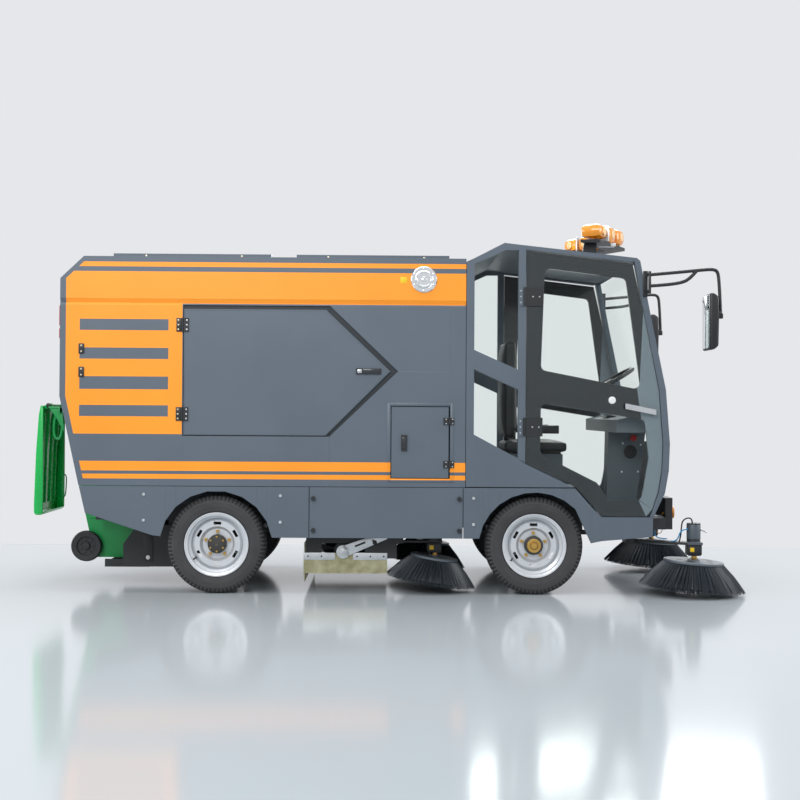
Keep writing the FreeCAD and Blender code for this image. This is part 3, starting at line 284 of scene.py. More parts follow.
# cast iron: rough, dark brown-grey
hubPaint = plainMaterial("hubCastIron", "#2B2A28", "#3B3935", 0.45, (150.0, 0.3, 0.0008), (25.0, 0.8))
# yellow-passivated zinc: straw gold, blotchy
yellowZinc = plainMaterial("yellowZincSteel", "#C9A45C", "#A88443", 0.32, (90.0, 0.15, 0.0004),
                      (40.0, 0.8), Metallic=0.9)
# bright zinc plate: cool grey metal, cloudy
zinc = plainMaterial("zincPlatedSteel", "#D3D6D8", "#A9AEB3", 0.3, (110.0, 0.15, 0.0005),
                     (30.0, 0.7), edge=0.001, Metallic=0.85)
# polished chrome: close to a mirror
chrome = plainMaterial("polishedChrome", "#E9ECEE", "#CDD2D6", 0.1, (40.0, 0.03, 0.0003), (10.0, 0.5),
                       Metallic=1.0)
# moulded black polypropylene with a fine spark grain: a dull sheen
blackPlastic = plainMaterial("grainedBlackPlastic", "#1E2124", "#15181A", 0.45, (220.0, 0.25, 0.0006),
                             (12.0, 0.6), edge=0.002)
# moulded grey ABS with the same grain
greyPlastic = plainMaterial("grainedGreyPlastic", "#5C656D", "#4C545B", 0.5, (200.0, 0.25, 0.0006),
                            (8.0, 0.6), edge=0.003)
# drawn polypropylene strands: grey-black, each catching a little light
bristlePlastic = plainMaterial("polypropyleneBristle", "#20252A", "#39424A", 0.42, (300.0, 0.3, 0.0004),
                               (60.0, 1.0))
# injection-moulded polyethylene: waxy green
binGreen = plainMaterial("binPolyethylene", "#0F9448", "#0A8040", 0.38, (80.0, 0.15, 0.0008),
                         (4.0, 0.8), edge=0.004)
# the same polyethylene in a brighter green than the tub, glossier, and light sinks into it a little
lidGreen = plainMaterial("lidPolyethylene", "#0CB551", "#08A046", 0.26, (80.0, 0.15, 0.0008),
                         (5.0, 0.9), Subsurface_Weight=0.15, Subsurface_Scale=0.02)
# natural rubber sheet: tan, worn and dirty
flapRubber = plainMaterial("tanFlapRubber", "#C9C6A0", "#8F8C66", 0.5, (60.0, 0.3, 0.001), (22.0, 1.3),
                           Alpha=0.78)  # worn thin enough for the roller to show dimly through it
# extruded seal rubber: flat grey
sealGrey = plainMaterial("greyBonnetSeal", "#747E86", "#666F77", 0.5)
# rotomoulded polyethylene: matt cream
tankPlastic = plainMaterial("rotomouldedTank", "#C9C9C0", "#B5B5AB", 0.5)
# galvanised sheet, weathered: dull grey
zincSheet = plainMaterial("zincGreySheet", "#6E767C", "#5D656B", 0.45, edge=0.002, Metallic=0.3)
# moulded acetal: clean red, glossy
redPlastic = plainMaterial("redButtonPlastic", "#C21A17", "#A81310", 0.3, (60.0, 0.1, 0.0004))
# white enamel: plain and slightly soft
whiteEnamel = plainMaterial("whiteScrewPaint", "#E4E5E4", "#CFD1D0", 0.4)
# printed vinyl sticker: flat yellow
yellowLabel = plainMaterial("blankYellowSticker", "#E7C21C", "#D8B012", 0.5)
# coated fabric with a leather grain: matt black with a faint bloom
seatVinyl = plainMaterial("blackSeatVinyl", "#24272A", "#1B1D20", 0.48, (260.0, 0.5, 0.0007),
                          (14.0, 0.8), Sheen_Weight=0.15)
# moulded polycarbonate: amber that lets some light through, glossy skin
amberLens = plainMaterial("amberPolycarbonate", "#FFB02E", "#FA9612", 0.16, (70.0, 0.3, 0.0012),
                          (30.0, 0.7), Transmission_Weight=0.35, Coat_Weight=0.4)
# moulded acrylic over a reflector: deep red, glossy
redLens = plainMaterial("redLampLens", "#B3140F", "#930C09", 0.14, (120.0, 0.4, 0.001), (30.0, 0.8),
                        Coat_Weight=0.5)
# clear acrylic over a reflector: pale and bright
clearLens = plainMaterial("clearLampLens", "#DDE2E6", "#C3CAD0", 0.1, (110.0, 0.4, 0.001), (30.0, 0.8),
                          Coat_Weight=0.6)
# silvered glass: a mirror
mirrorGlass = plainMaterial("silveredMirror", "#DCE2E6", "#D2D9DE", 0.06, (10.0, 0.01, 0.0002),
                            (5.0, 0.3), Metallic=1.0)
windowGlass = clearGlass("floatGlass", "#FCFEFD", 0.25)
quarterGlass = clearGlass("quarterGlass", "#F8FBFB", 0.35)
print("materials made")

# finishes of the carried-over CAD nodes
finishes = {
    "access_door": slatePaint, "axles": blackPaint, "battery_pack": darkPaint, "beacon_base": blackPlastic,
    "beacon_lenses": amberLens, "bin_body": binGreen, "bin_lid": lidGreen, "bin_wheels": blackPlastic,
    "body_roof": slatePaint, "body_sides": sidePaint, "brake_pedal": blackPlastic,
    "brush_housing": blackPaint, "cab_console": greyPlastic, "cab_frame": slatePaint,
    "cab_glazing": windowGlass, "chassis_frame": blackPaint, "drive_pedal": blackPlastic,
    "dust_hopper": zincSheet, "emergency_stop": redPlastic, "filler_cap": chrome,
    "floors_and_bulkheads": darkPaint, "front_bumper": blackPaint, "lamps": amberLens,
    "mirror_arms": blackPlastic, "rear_rims": silverPaint, "roller_arms": zinc,
    "roller_brush": bristlePlastic, "rubber_flaps": flapRubber, "seat": seatVinyl,
    "skirt_fixings": zinc, "skirts": slatePaint, "steering_wheel": blackPlastic,
    "suction_fan": zincSheet, "water_tank": tankPlastic,
    "rear_tyres": tyreRubber("rearTyreRubber", rearAxle),
}
frontRubber = tyreRubber("frontTyreRubber", frontAxle)
for hand, side in sides:
    finishes.update({
        f"cab_door_frame_{hand}": doorBlack, f"cab_door_glass_{hand}": windowGlass,
        f"cab_door_handle_{hand}": zinc, f"front_brush_{hand}": bristlePlastic,
        f"front_brush_arm_{hand}": blackPaint, f"front_rim_{hand}": silverPaint,
        f"front_tyre_{hand}": frontRubber, f"middle_brush_{hand}": bristlePlastic,
        f"middle_brush_arm_{hand}": blackPaint, f"mirror_head_{hand}": blackPlastic,
        f"service_door_{hand}": slatePaint, f"steering_knuckle_{hand}": blackPaint,
    })
for name, item in cadNodes.items():
    item.data.materials.clear()
    item.data.materials.append(finishes[name])


def refinish(name, choices, chooser):
    # faces of one CAD node take the finish that chooser picks from their middle
    mesh = cadNodes[name].data
    for material in choices:
        mesh.materials.append(material)
    for face in mesh.polygons:
        face.material_index = chooser(face.center)


# radii and depths, in metres, where a rim's disc becomes the hub and the ring of wheel bolts
wheelPaint = {"hub": 0.0595, "hubFace": 0.6558, "bolts": 0.092, "boltFace": 0.6557}


def wheelParts(axleX):
    def chooser(spot):
        across = math.hypot(spot.x - axleX, spot.z - axleHeight)
        if across < wheelPaint["hub"]:
            return int(abs(spot.y) > wheelPaint["hubFace"])
        return 2 if across < wheelPaint["bolts"] and abs(spot.y) > wheelPaint["boltFace"] else 0
    return chooser


refinish("rear_rims", [hubPaint, yellowZinc], wheelParts(rearAxle))
for hand, side in sides:
    refinish(f"front_rim_{hand}", [hubPaint, yellowZinc], wheelParts(frontAxle))
    refinish(f"cab_door_frame_{hand}", [blackPlastic, whiteEnamel],
             lambda spot: 0 if abs(spot.y) < 0.7495 else 2 if spot.x > at(2300, 0, 0).x else 1)
    refinish(f"service_door_{hand}", [blackPlastic], lambda spot: int(abs(spot.y) > 0.7502))
domes = [at(x, 0, 0).x for x in (594, 1492)]  # dome knobs of the lift-off skirt panel are dark
refinish("skirt_fixings", [blackPlastic], lambda spot: int(any(abs(spot.x - x) < 0.03 for x in domes)))
frontSeal = at(2622, 0, 0).x
for hand, side in sides:  # the windscreen-side border of each door is bare grey
    for face in cadNodes[f"cab_door_frame_{hand}"].data.polygons:
        if face.material_index == 0 and face.center.x > frontSeal and abs(face.center.y) > 0.7:
            face.material_index = 3
    cadNodes[f"cab_door_frame_{hand}"].data.materials.append(sealGrey)
refinish("access_door", [blackPlastic], lambda spot: int(abs(spot.y) > 0.7502))
refinish("lamps", [redLens, clearLens],
         lambda spot: 1 if spot.x < 0 else 0 if abs(spot.y) > 0.45 else 2)
print("CAD finishes set")

# mesh helpers


def addBox(bm, low, high, edge=0.0, segments=2):
    low, high = Vector(low), Vector(high)
    small = Vector(map(min, low, high))
    large = Vector(map(max, low, high))
    corners = bmesh.ops.create_cube(bm, size=1)["verts"]
    bmesh.ops.scale(bm, vec=large - small, verts=corners)
    bmesh.ops.translate(bm, vec=(small + large) / 2, verts=corners)
    if not edge:
        return corners
    edges = list({e for v in corners for e in v.link_edges})
    made = bmesh.ops.bevel(bm, geom=edges, offset=edge, offset_type="OFFSET", segments=segments,
                           profile=0.5, affect="EDGES", material=-1, clamp_overlap=True)
    return made["verts"]


def addRod(bm, start, end, radius, sides=24, tip=None, edge=0.0):
    start, end = Vector(start), Vector(end)
    run = end - start
    made = bmesh.ops.create_cone(bm, cap_ends=True, segments=sides, radius1=radius,
                                 radius2=radius if tip is None else tip, depth=run.length)["verts"]
    turn = run.to_track_quat("Z", "Y").to_matrix().to_4x4()
    bmesh.ops.transform(bm, matrix=Matrix.Translation((start + end) / 2) @ turn, verts=made)
    if edge:
        rims = list({e for v in made for e in v.link_edges
                     if any(len(f.verts) > 4 for f in e.link_faces)})
        made = bmesh.ops.bevel(bm, geom=rims, offset=edge, offset_type="OFFSET", segments=2,
                               profile=0.5, affect="EDGES", material=-1, clamp_overlap=True)["verts"]
    return made


def addPlate(bm, outline, thickness, edge=0.0):
    # outline is a ring of corners in one plane, thickness a vector it is pushed through
    face = bm.faces.new([bm.verts.new(Vector(p)) for p in outline])
    pushed = bmesh.ops.extrude_face_region(bm, geom=[face])["geom"]
    moved = [v for v in pushed if isinstance(v, bmesh.types.BMVert)]
    bmesh.ops.translate(bm, vec=thickness, verts=moved)
    everything = list({f for v in moved for f in v.link_faces} | {face})
    verts = list({v for f in everything for v in f.verts})
    allFaces = list({f for v in verts for f in v.link_faces})
    bmesh.ops.recalc_face_normals(bm, faces=allFaces)
    if edge:
        edges = list({e for f in allFaces for e in f.edges})
        bmesh.ops.bevel(bm, geom=edges, offset=edge, offset_type="OFFSET", segments=2, profile=0.5,
                        affect="EDGES", material=-1, clamp_overlap=True)
    return verts


def addLathe(bm, profile, centre, axis, steps=48):
    # profile is (radius, distance along axis) pairs, closed at the axis or back on itself
    turned = bmesh.new()
    points = [turned.verts.new((r, 0, h)) for r, h in profile]
    edges = [turned.edges.new(pair) for pair in zip(points, points[1:])]
    bmesh.ops.spin(turned, geom=points + edges, cent=(0, 0, 0), axis=(0, 0, 1),
                   angle=math.tau, steps=steps, use_merge=True)
    bmesh.ops.remove_doubles(turned, verts=turned.verts, dist=1e-6)
    bmesh.ops.recalc_face_normals(turned, faces=turned.faces)
    turn = Vector(axis).to_track_quat("Z", "Y").to_matrix().to_4x4()
    bmesh.ops.transform(turned, matrix=Matrix.Translation(Vector(centre)) @ turn, verts=turned.verts)
    shell = bpy.data.meshes.new("turned")
    turned.to_mesh(shell)
    turned.free()
    bm.from_mesh(shell)
    bpy.data.meshes.remove(shell)


def finishPiece(name, bm, material, body, smooth=40, subdivide=0):
    mesh = bpy.data.meshes.new(name)
    bm.to_mesh(mesh)
    bm.free()
    piece = bpy.data.objects.new(name, mesh)
    bpy.context.scene.collection.objects.link(piece)
    for item in material if isinstance(material, list) else [material]:
        mesh.materials.append(item)
    if smooth:
        mesh.shade_smooth()
        if smooth < 180:
            mesh.set_sharp_from_angle(angle=math.radians(smooth))
    if subdivide:
        rounding = piece.modifiers.new("rounding", "SUBSURF")
        rounding.levels = rounding.render_levels = subdivide
    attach(piece, body)
    return piece


def smoothLine(name, points, radius, order, steps):
    # a round section on a smooth line that stays near its corner points
    curve = bpy.data.curves.new(name, "CURVE")
    curve.dimensions = "3D"
    spline = curve.splines.new("NURBS")
    spline.points.add(len(points) - 1)
    for point, spot in zip(spline.points, points):
        point.co = (*spot, 1)
    spline.order_u = order
    spline.use_endpoint_u = True
    curve.bevel_depth = radius
    curve.bevel_resolution = 4
    curve.use_fill_caps = True
    curve.resolution_u = steps
    return curve


def tubePiece(name, points, radius, material, body):
    holder = bpy.data.objects.new(name + "Line", smoothLine(name, points, radius, 4, 8))
    bpy.context.scene.collection.objects.link(holder)
    mesh = bpy.data.meshes.new_from_object(holder)
    bpy.data.objects.remove(holder)
    mesh.name = name
    piece = bpy.data.objects.new(name, mesh)
    bpy.context.scene.collection.objects.link(piece)
    mesh.materials.clear()
    mesh.materials.append(material)
    mesh.shade_smooth()
    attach(piece, body)
    return piece


# side brushes: tufts of crimped bristles in rings, flared from a drilled plate
frontBrush = {"spot": (2958, 640), "plateHeight": 191.5, "plateRadius": 185, "reach": 322,
              "rows": 4, "tufts": 68, "bristlesInTuft": 9, "bristleWidth": 2.8, "tilt": 4,
              "drop": 160}
middleBrush = {"spot": (1345, 520), "plateHeight": 198.7, "plateRadius": 150, "reach": 280,
               "rows": 4, "tufts": 60, "bristlesInTuft": 8, "bristleWidth": 2.8, "tilt": 9,
               "drop": 148}


def addTuft(bm, root, tip, count, width, spread):
    # a few tapered bristles that leave one hole side by side and part towards their tips
    verts = []
    for i in range(count):
        shift = Vector((random.uniform(-1, 1), random.uniform(-1, 1), 0)) * 5
        away = Vector((random.uniform(-1, 1), random.uniform(-1, 1), random.uniform(-0.3, 0.3))) * spread
        start, end = Vector(root) + shift, Vector(tip) + shift + away
        middle = (start + end) / 2 + Vector((0, 0, 0.035 * (start - end).length))
        verts += addRod(bm, start, middle, width, sides=3, tip=width * 0.8)
        verts += addRod(bm, middle, end, width * 0.8, sides=3, tip=width * 0.3)
    return verts


def sideBrush(name, look, side, body, node):
    bm = bmesh.new()
    plate = look["plateRadius"]
    for row in range(look["rows"]):
        root = plate * (0.985 - 0.12 * row)
        tip = look["reach"] * (0.985 - 0.08 * row)
        drop = -look["drop"] + 7 - 2.5 * row
        variants = 4
        for k in range(variants):
            turn = math.tau / look["tufts"] * (k + 0.5 * (row % 2))
            start = Vector((root * math.cos(turn), root * math.sin(turn), -2))
            end = Vector((tip * math.cos(turn), tip * math.sin(turn), drop))
            verts = addTuft(bm, start, end, look["bristlesInTuft"], look["bristleWidth"], 9)
            geom = verts + list({e for v in verts for e in v.link_edges}) \
                + list({f for v in verts for f in v.link_faces})
            repeats = look["tufts"] // variants
            bmesh.ops.spin(bm, geom=geom, cent=(0, 0, 0), axis=(0, 0, 1),
                           angle=math.tau * (repeats - 1) / repeats, steps=repeats - 1,
                           use_duplicate=True)
    core = look["reach"] * 0.86
    drop = look["drop"]
    addLathe(bm, [(0, -6), (plate * 0.93, -6), (core, 26 - drop), (core * 0.9, 14 - drop), (0, 40 - drop)],
             (0, 0, 0), (0, 0, 1), 40)
    x, y = look["spot"]
    tilt = Matrix.Rotation(math.radians(look["tilt"]), 4, "Y")
    place = Matrix.Translation(at(x, y * side, look["plateHeight"])) @ tilt @ Matrix.Scale(0.001, 4)
    bmesh.ops.transform(bm, matrix=place, verts=bm.verts)
    bristles = finishPiece(name + "Bristles", bm, bristlePlastic, body, smooth=30)
    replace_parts(bristles, node)

    bm = bmesh.new()
    addLathe(bm, [(0, 16), (plate - 3, 16), (plate, 13), (plate, 3), (plate - 3, 0), (0, 0)], (0, 0, 0),
             (0, 0, 1), 64)
    addRod(bm, (0, 0, 14), (0, 0, 21), 40, 32, edge=2)
    for k in range(4):
        turn = math.tau * k / 4 + 0.4
        spot = Vector((31 * math.cos(turn), 31 * math.sin(turn), 0))
        addRod(bm, spot + Vector((0, 0, 20)), spot + Vector((0, 0, 25)), 5, 6, edge=0.6)
    bmesh.ops.transform(bm, matrix=place, verts=bm.verts)
    finishPiece(name + "Plate", bm, greyPlastic, body)

    # five black discs on the plate are painted shade where its openings are
    bm = bmesh.new()
    for k in range(5):
        turn = math.tau * (k + 0.35) / 5
        spot = Vector((plate * 0.56 * math.cos(turn), plate * 0.56 * math.sin(turn), 0))
        addRod(bm, spot + Vector((0, 0, 14)), spot + Vector((0, 0, 16.6)), plate * 0.19, 32, edge=0.6)
    bmesh.ops.transform(bm, matrix=place, verts=bm.verts)
    finishPiece(name + "OpeningShade", bm, blackPlastic, body)


for hand, side in sides:
    sideBrush("frontBrush" + hand.title(), frontBrush, side, f"front_brush_{hand}",
              f"front_brush_{hand}")
    sideBrush("middleBrush" + hand.title(), middleBrush, side, f"middle_brush_{hand}",
              f"middle_brush_{hand}")
print("side brushes made")

# roller brush: spiral rows of tufts round a tube
roller = {"spot": (775, 247), "reach": 150, "tube": 58, "half": 556, "rows": 10, "tuftsInRow": 46}


def rollerBrush():
    bm = bmesh.new()
    addRod(bm, (0, -roller["half"], 0), (0, roller["half"], 0), roller["tube"], 32, edge=2)
    for k in range(roller["tuftsInRow"]):
        across = roller["half"] * (2 * (k + 0.5) / roller["tuftsInRow"] - 1) * 0.98
        lean = across / roller["half"] * 0.9
        turn = Vector((math.cos(lean), 0, math.sin(lean)))
        root = turn * roller["tube"] + Vector((0, across, 0))
        tip = turn * roller["reach"] * 0.97 + Vector((0, across, 0))
        verts = []
        for i in range(7):
            shift = Vector((random.uniform(-4, 4), random.uniform(-12, 12), random.uniform(-4, 4)))
            verts += addRod(bm, root + shift, tip + shift * 1.4 - turn * random.uniform(2, 9), 3.2,
                            sides=3, tip=1.8)
        geom = verts + list({e for v in verts for e in v.link_edges}) \
            + list({f for v in verts for f in v.link_faces})
        rows = roller["rows"]
        bmesh.ops.spin(bm, geom=geom, cent=(0, 0, 0), axis=(0, 1, 0),
                       angle=math.tau * (rows - 1) / rows, steps=rows - 1, use_duplicate=True)
    place = Matrix.Translation(at(roller["spot"][0], 0, roller["spot"][1])) @ Matrix.Scale(0.001, 4)
    bmesh.ops.transform(bm, matrix=place, verts=bm.verts)
    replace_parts(finishPiece("rollerBristles", bm, bristlePlastic, "roller_brush", smooth=30),
                "roller_brush")


rollerBrush()
print("roller brush made")

# driver's seat: foam under vinyl, crowned, pulled in along its sewn channels
seatPads = {
    "cushion": {"low": (1815, -235, 850), "high": (2223, 235, 945), "fill": 0.7, "channels": 4},
    "back": {"low": (1795, -225, 955), "high": (1908, 225, 1590), "fill": 0.6, "channels": 5},
    "armrest": {"low": (1930, -290, 985), "high": (2165, -245, 1040), "fill": 0.9, "channels": 0},
}


def seatPad(name, look, side=1):
    low, high = Vector(look["low"]), Vector(look["high"])
    middle, half = (low + high) / 2, (high - low) / 2
    thin = min(range(3), key=lambda i: half[i])
    bm = bmesh.new()
    bmesh.ops.create_cube(bm, size=2)
    bmesh.ops.subdivide_edges(bm, edges=bm.edges, cuts=13, use_grid_fill=True)
    flat = [i for i in range(3) if i != thin]
    for v in bm.verts:
        u = v.co.copy()
        edge = max(abs(u[flat[0]]), abs(u[flat[1]]))
        crown = 1 - 0.32 * edge ** 6 - 0.1 * edge ** 2
        if look["channels"]:
            along = u[flat[-1]] if thin == 0 else u[flat[0]]
            crown -= 0.1 * (0.5 + 0.5 * math.cos(along * look["channels"] * math.pi)) ** 8 * (1 - edge ** 4)
        pull = 1 - 0.025 * (1 - u[flat[0]] ** 2) * abs(u[flat[1]]) - 0.03 * abs(u[thin]) ** 4
        v.co[thin] = u[thin] * crown
        for i in flat:
            v.co[i] = u[i] * pull
        v.co = Vector(v.co[i] * half[i] for i in range(3)) + middle
        v.co = at(v.co.x, v.co.y * side, v.co.z)
    if side < 0:
        bmesh.ops.reverse_faces(bm, faces=bm.faces)
    pad = finishPiece(name, bm, seatVinyl, "seat", smooth=180, subdivide=1)
    return pad


cushion = seatPad("seatCushion", seatPads["cushion"])
seatPad("seatBack", seatPads["back"])
seatPad("armrestRight", seatPads["armrest"])
seatPad("armrestLeft", seatPads["armrest"], -1)
bm = bmesh.new()
for side in (-1, 1):
    addBox(bm, at(1880, 226 * side, 1002), at(1932, 288 * side, 1024), 0.004)
    addRod(bm, at(1850, 60 * side, 932), at(1850, 60 * side, 990), 0.011, 12)
addBox(bm, at(1830, -190, 846), at(2190, 190, 862), 0.004)
finishPiece("seatFrame", bm, blackPlastic, "seat")
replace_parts(cushion, "seat")
print("seat made")

# waste bin: moulded polyethylene, with its lid folded back over the rear
binLook = {"hinge": (-1168, 1149), "lidLength": 712, "lidHalf": 288, "rim": 1140, "wheel": (-895, 241)}


def binLid():
    # dished tray: skin, side flanges, rolled lower lip, stiffening ribs and a grab bar
    x0, z0 = binLook["hinge"]
    half = binLook["lidHalf"]
    low = z0 + 2 - binLook["lidLength"]
    bm = bmesh.new()
    flange = [(x0 - 12, z0 - 4), (x0 - 30, z0 + 2), (x0 - 42, z0 - 60), (x0 - 58, z0 - 300),
              (x0 - 69, low + 70), (x0 - 68, low + 14), (x0 - 56, low + 1), (x0 - 24, low + 1),
              (x0 - 12, low + 14), (x0 - 10, low + 150)]
    for side in (-1, 1):
        addPlate(bm, [at(x, (half - 14) * side, z) for x, z in flange], (0, 0.014 * side, 0), 0.005)
    skin = [(x0 - 32, z0 - 2), (x0 - 43, z0 - 60), (x0 - 59, z0 - 300), (x0 - 69.5, low + 70),
            (x0 - 69, low + 16), (x0 - 56, low + 1), (x0 - 24, low + 1), (x0 - 11, low + 16),
            (x0 - 17, low + 20), (x0 - 27, low + 8), (x0 - 54, low + 8), (x0 - 62, low + 18),
            (x0 - 62, low + 70), (x0 - 52, z0 - 300), (x0 - 36, z0 - 60), (x0 - 26, z0 - 2)]
    addPlate(bm, [at(x, 10 - half, z) for x, z in skin], (0, 2 * (half - 10) / 1000, 0), 0.002)
    for y in (-180, -60, 60, 180):
        rib = [(x0 - 28, z0 - 40), (x0 - 40, z0 - 60), (x0 - 56, z0 - 300), (x0 - 64, low + 70),
               (x0 - 50, low + 60), (x0 - 42, z0 - 300), (x0 - 24, z0 - 120)]
        addPlate(bm, [at(x, y - 5, z) for x, z in rib], (0, 0.010, 0), 0.002)
    for y in (-170, 170):
        addRod(bm, at(x0, y - 40, z0), at(x0, y + 40, z0), 0.015, 20, edge=0.002)
        addBox(bm, at(x0 - 30, y - 34, z0 - 22), at(x0 - 4, y + 34, z0 + 2), 0.005)
    lid = finishPiece("binLidShell", bm, lidGreen, "bin_lid")
    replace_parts(lid, "bin_lid")
    grip = [(-14, 240), (4, 236), (6, 200), (2, 110), (-4, 84), (-20, 78)]
    tubePiece("binLidGrip", [at(x0 + x, 268, low + z) for x, z in grip], 0.0042, binGreen, "bin_lid")


def binTrim():
    # collar, ribs and lifting comb on the tapering tub
    bm = bmesh.new()
    top = binLook["rim"]
    hingeX, hingeZ = binLook["hinge"]
    for side in (-1, 1):
        addBox(bm, at(-1078, 268 * side, top - 42), at(-478, 297 * side, top + 2), 0.006)
        for k in range(3):
            z = 420 + 210 * k
            y = 240 + 45 * (z - 165) / 975
            slant = 210 * (z - 165) / 975
            addBox(bm, at(-850 - slant + 20, (y - 4) * side, z), at(-524 + 30, (y + 5) * side, z + 12), 0.003)
    addBox(bm, at(-1080, -297, top - 42), at(-1050, 297, top + 2), 0.006)
    # rear rim shelf with the two grab loops a collector pulls on
    addBox(bm, at(-1142, -292, top - 12), at(-1060, 292, top + 2), 0.004)
    cheek = [(-1150, top + 1), (-1060, top + 1), (-1042, top - 170), (-1104, top - 60)]
    for side in (-1, 1):
        addPlate(bm, [at(x, 276 * side, z) for x, z in cheek], (0, 0.012 * side, 0), 0.003)
    addBox(bm, at(-494, -297, top - 42), at(-470, 297, top + 2), 0.006)
    for low, high in ((-205, -175), (175, 205)):
        addRod(bm, at(hingeX, low, hingeZ), at(hingeX, high, hingeZ), 0.013, 20, edge=0.002)
    finishPiece("binCollar", bm, binGreen, "bin")
    loop = [(-1092, 1120), (-1116, 1070), (-1124, 990), (-1112, 930), (-1078, 930), (-1066, 990),
            (-1060, 1070), (-1068, 1120)]
    for hand, side in sides:
        tubePiece("binGrabLoop" + hand.title(), [at(x, 250 * side, z) for x, z in loop], 0.010, binGreen,
                  "bin")
    bm = bmesh.new()
    for side in (-1, 1):
        addRod(bm, at(hingeX, 205 * side, hingeZ), at(hingeX, 216 * side, hingeZ), 0.0155, 20, edge=0.003)
    finishPiece("binHingeCaps", bm, blackPlastic, "bin")


def binWheels():
    x, z = binLook["wheel"]
    bm = bmesh.new()
    tyre = [(62, -18), (92, -20), (98, -14), (100, 0), (98, 14), (92, 20), (62, 18), (58, 8),
            (24, 6), (22, 20), (0, 22)]
    profile = [(0, -20), (22, -18), (24, -6), (58, -8)] + tyre
    for side in (-1, 1):
        addLathe(bm, [(r / 1000, h / 1000) for r, h in profile], at(x, 276.5 * side, z), (0, side, 0), 56)
        for k in range(7):
            turn = math.tau * k / 7
            spot = at(x + 41 * math.cos(turn), 284 * side, z + 41 * math.sin(turn))
            addRod(bm, spot, spot + Vector((0, 0.003 * side, 0)), 0.009, 12, edge=0.001)
    addRod(bm, at(x, -262, z), at(x, 262, z), 0.0095, 16)
    wheels = finishPiece("binWheelPair", bm, blackPlastic, "bin_wheels")
    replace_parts(wheels, "bin_wheels")


binLid()
binTrim()
binWheels()
print("bin made")

# beacon bar: V of moulded amber modules on a black bracket
beacon = {"low": 2236, "high": 2342, "modules": 3, "apex": (2573, 0), "end": (2330, 432)}


def beaconBar():
    amber, highlightSpots, dark = bmesh.new(), bmesh.new(), bmesh.new()
    for side in (-1, 1):
        inner = Vector((beacon["apex"][0], 14 * side))
        outer = Vector((beacon["end"][0], beacon["end"][1] * side))
        run = (outer - inner).normalized()
        across = Vector((-run.y, run.x)) * side
        length = (outer - inner).length
        for k in range(beacon["modules"]):
            a = inner + run * (length * k / beacon["modules"] + 4)
            b = inner + run * (length * (k + 1) / beacon["modules"] - 12)
            ring = [a + across * 72, b + across * 72, b - across * 72, a - across * 72]
            squeeze = 12 if k == beacon["modules"] - 1 else 0
            addPlate(amber, [at(p.x, p.y, beacon["low"] + squeeze) for p in ring],
                     (0, 0, (beacon["high"] - beacon["low"] - squeeze * 1.5) / 1000), 0.034)
            # each module gets a pale disc on either side, a painted highlight
            c = (a + b) / 2
            for h in (-1, 1):
                spot = c + across * 71 * h
                tip = c + across * 74.5 * h
                addRod(highlightSpots, at(spot.x, spot.y, 2290), at(tip.x, tip.y, 2290), 0.026, 28, edge=0.002)
        clamp = inner + run * (length * 0.66 - 6)
        ring = [clamp + across * 73.5, clamp + run * 14 + across * 73.5, clamp + run * 14 - across * 73.5,
                clamp - across * 73.5]
        addPlate(dark, [at(p.x, p.y, beacon["low"] - 2) for p in ring], (0, 0, 0.108), 0.004)
    bar = finishPiece("beaconLens", amber, amberLens, "chassis")
    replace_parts(bar, "beacon_lenses")
    finishPiece("beaconPaintedHighlights", highlightSpots, beaconHighlightPaint, "chassis")
    finishPiece("beaconClamps", dark, zinc, "chassis")
    bm = bmesh.new()
    addBox(bm, at(2425, -250, 2214), at(2535, -180, 2236), 0.003)
    finishPiece("beaconDriver", bm, whiteEnamel, "chassis")


# pale amber discs on the sides of the lens modules: painted highlights where the modules catch the light
beaconHighlightPaint = plainMaterial("beaconPaintedHighlight", "#FBD9A8", "#F6B765", 0.25, (150.0, 0.5, 0.001),
                            (40.0, 0.9), Coat_Weight=0.5)
beaconBar()
print("beacon made")

# mirrors: bent tube arms and rounded heads
mirror = {"out": 850, "tube": 0.0105}


def mirrorArm(hand, side):
    y = mirror["out"] * side
    arm = [(2632, 1964), (2760, 1976), (2900, 1990), (2985, 1999), (3036, 2000), (3052, 1975),
           (3056, 1930), (3062, 1850), (3067, 1716)]
    brace = [(2632, 1896), (2740, 1904), (2842, 1916), (2876, 1940), (2920, 1990)]
    tube, _ = [tubePiece(name + hand, [at(x, y, z) for x, z in line], mirror["tube"], blackPlastic, "chassis")
               for name, line in (("mirrorTube", arm), ("mirrorBrace", brace))]
    bm = bmesh.new()
    addBox(bm, at(2612, 751 * side, 1838), at(2642, 759 * side, 1998), 0.003)
    addRod(bm, at(2634, y, 1850), at(2634, y, 1986), 0.009, 16, edge=0.002)
    for z in (1866, 1970):
        addBox(bm, at(2625, 756 * side, z - 9), at(2641, y + 9 * side, z + 9), 0.003)
        addRod(bm, at(2620, 758 * side, z + 18), at(2620, 762 * side, z + 18), 0.006, 6, edge=0.0008)
    addBox(bm, at(3046, y - 14, 1700), at(3080, y + 14, 1732), 0.004)
    addRod(bm, at(3056, y, 1730), at(3056, y, 1744), 0.0145, 20, edge=0.002)
    finishPiece("mirrorBracket" + hand, bm, blackPlastic, "chassis")
    return tube


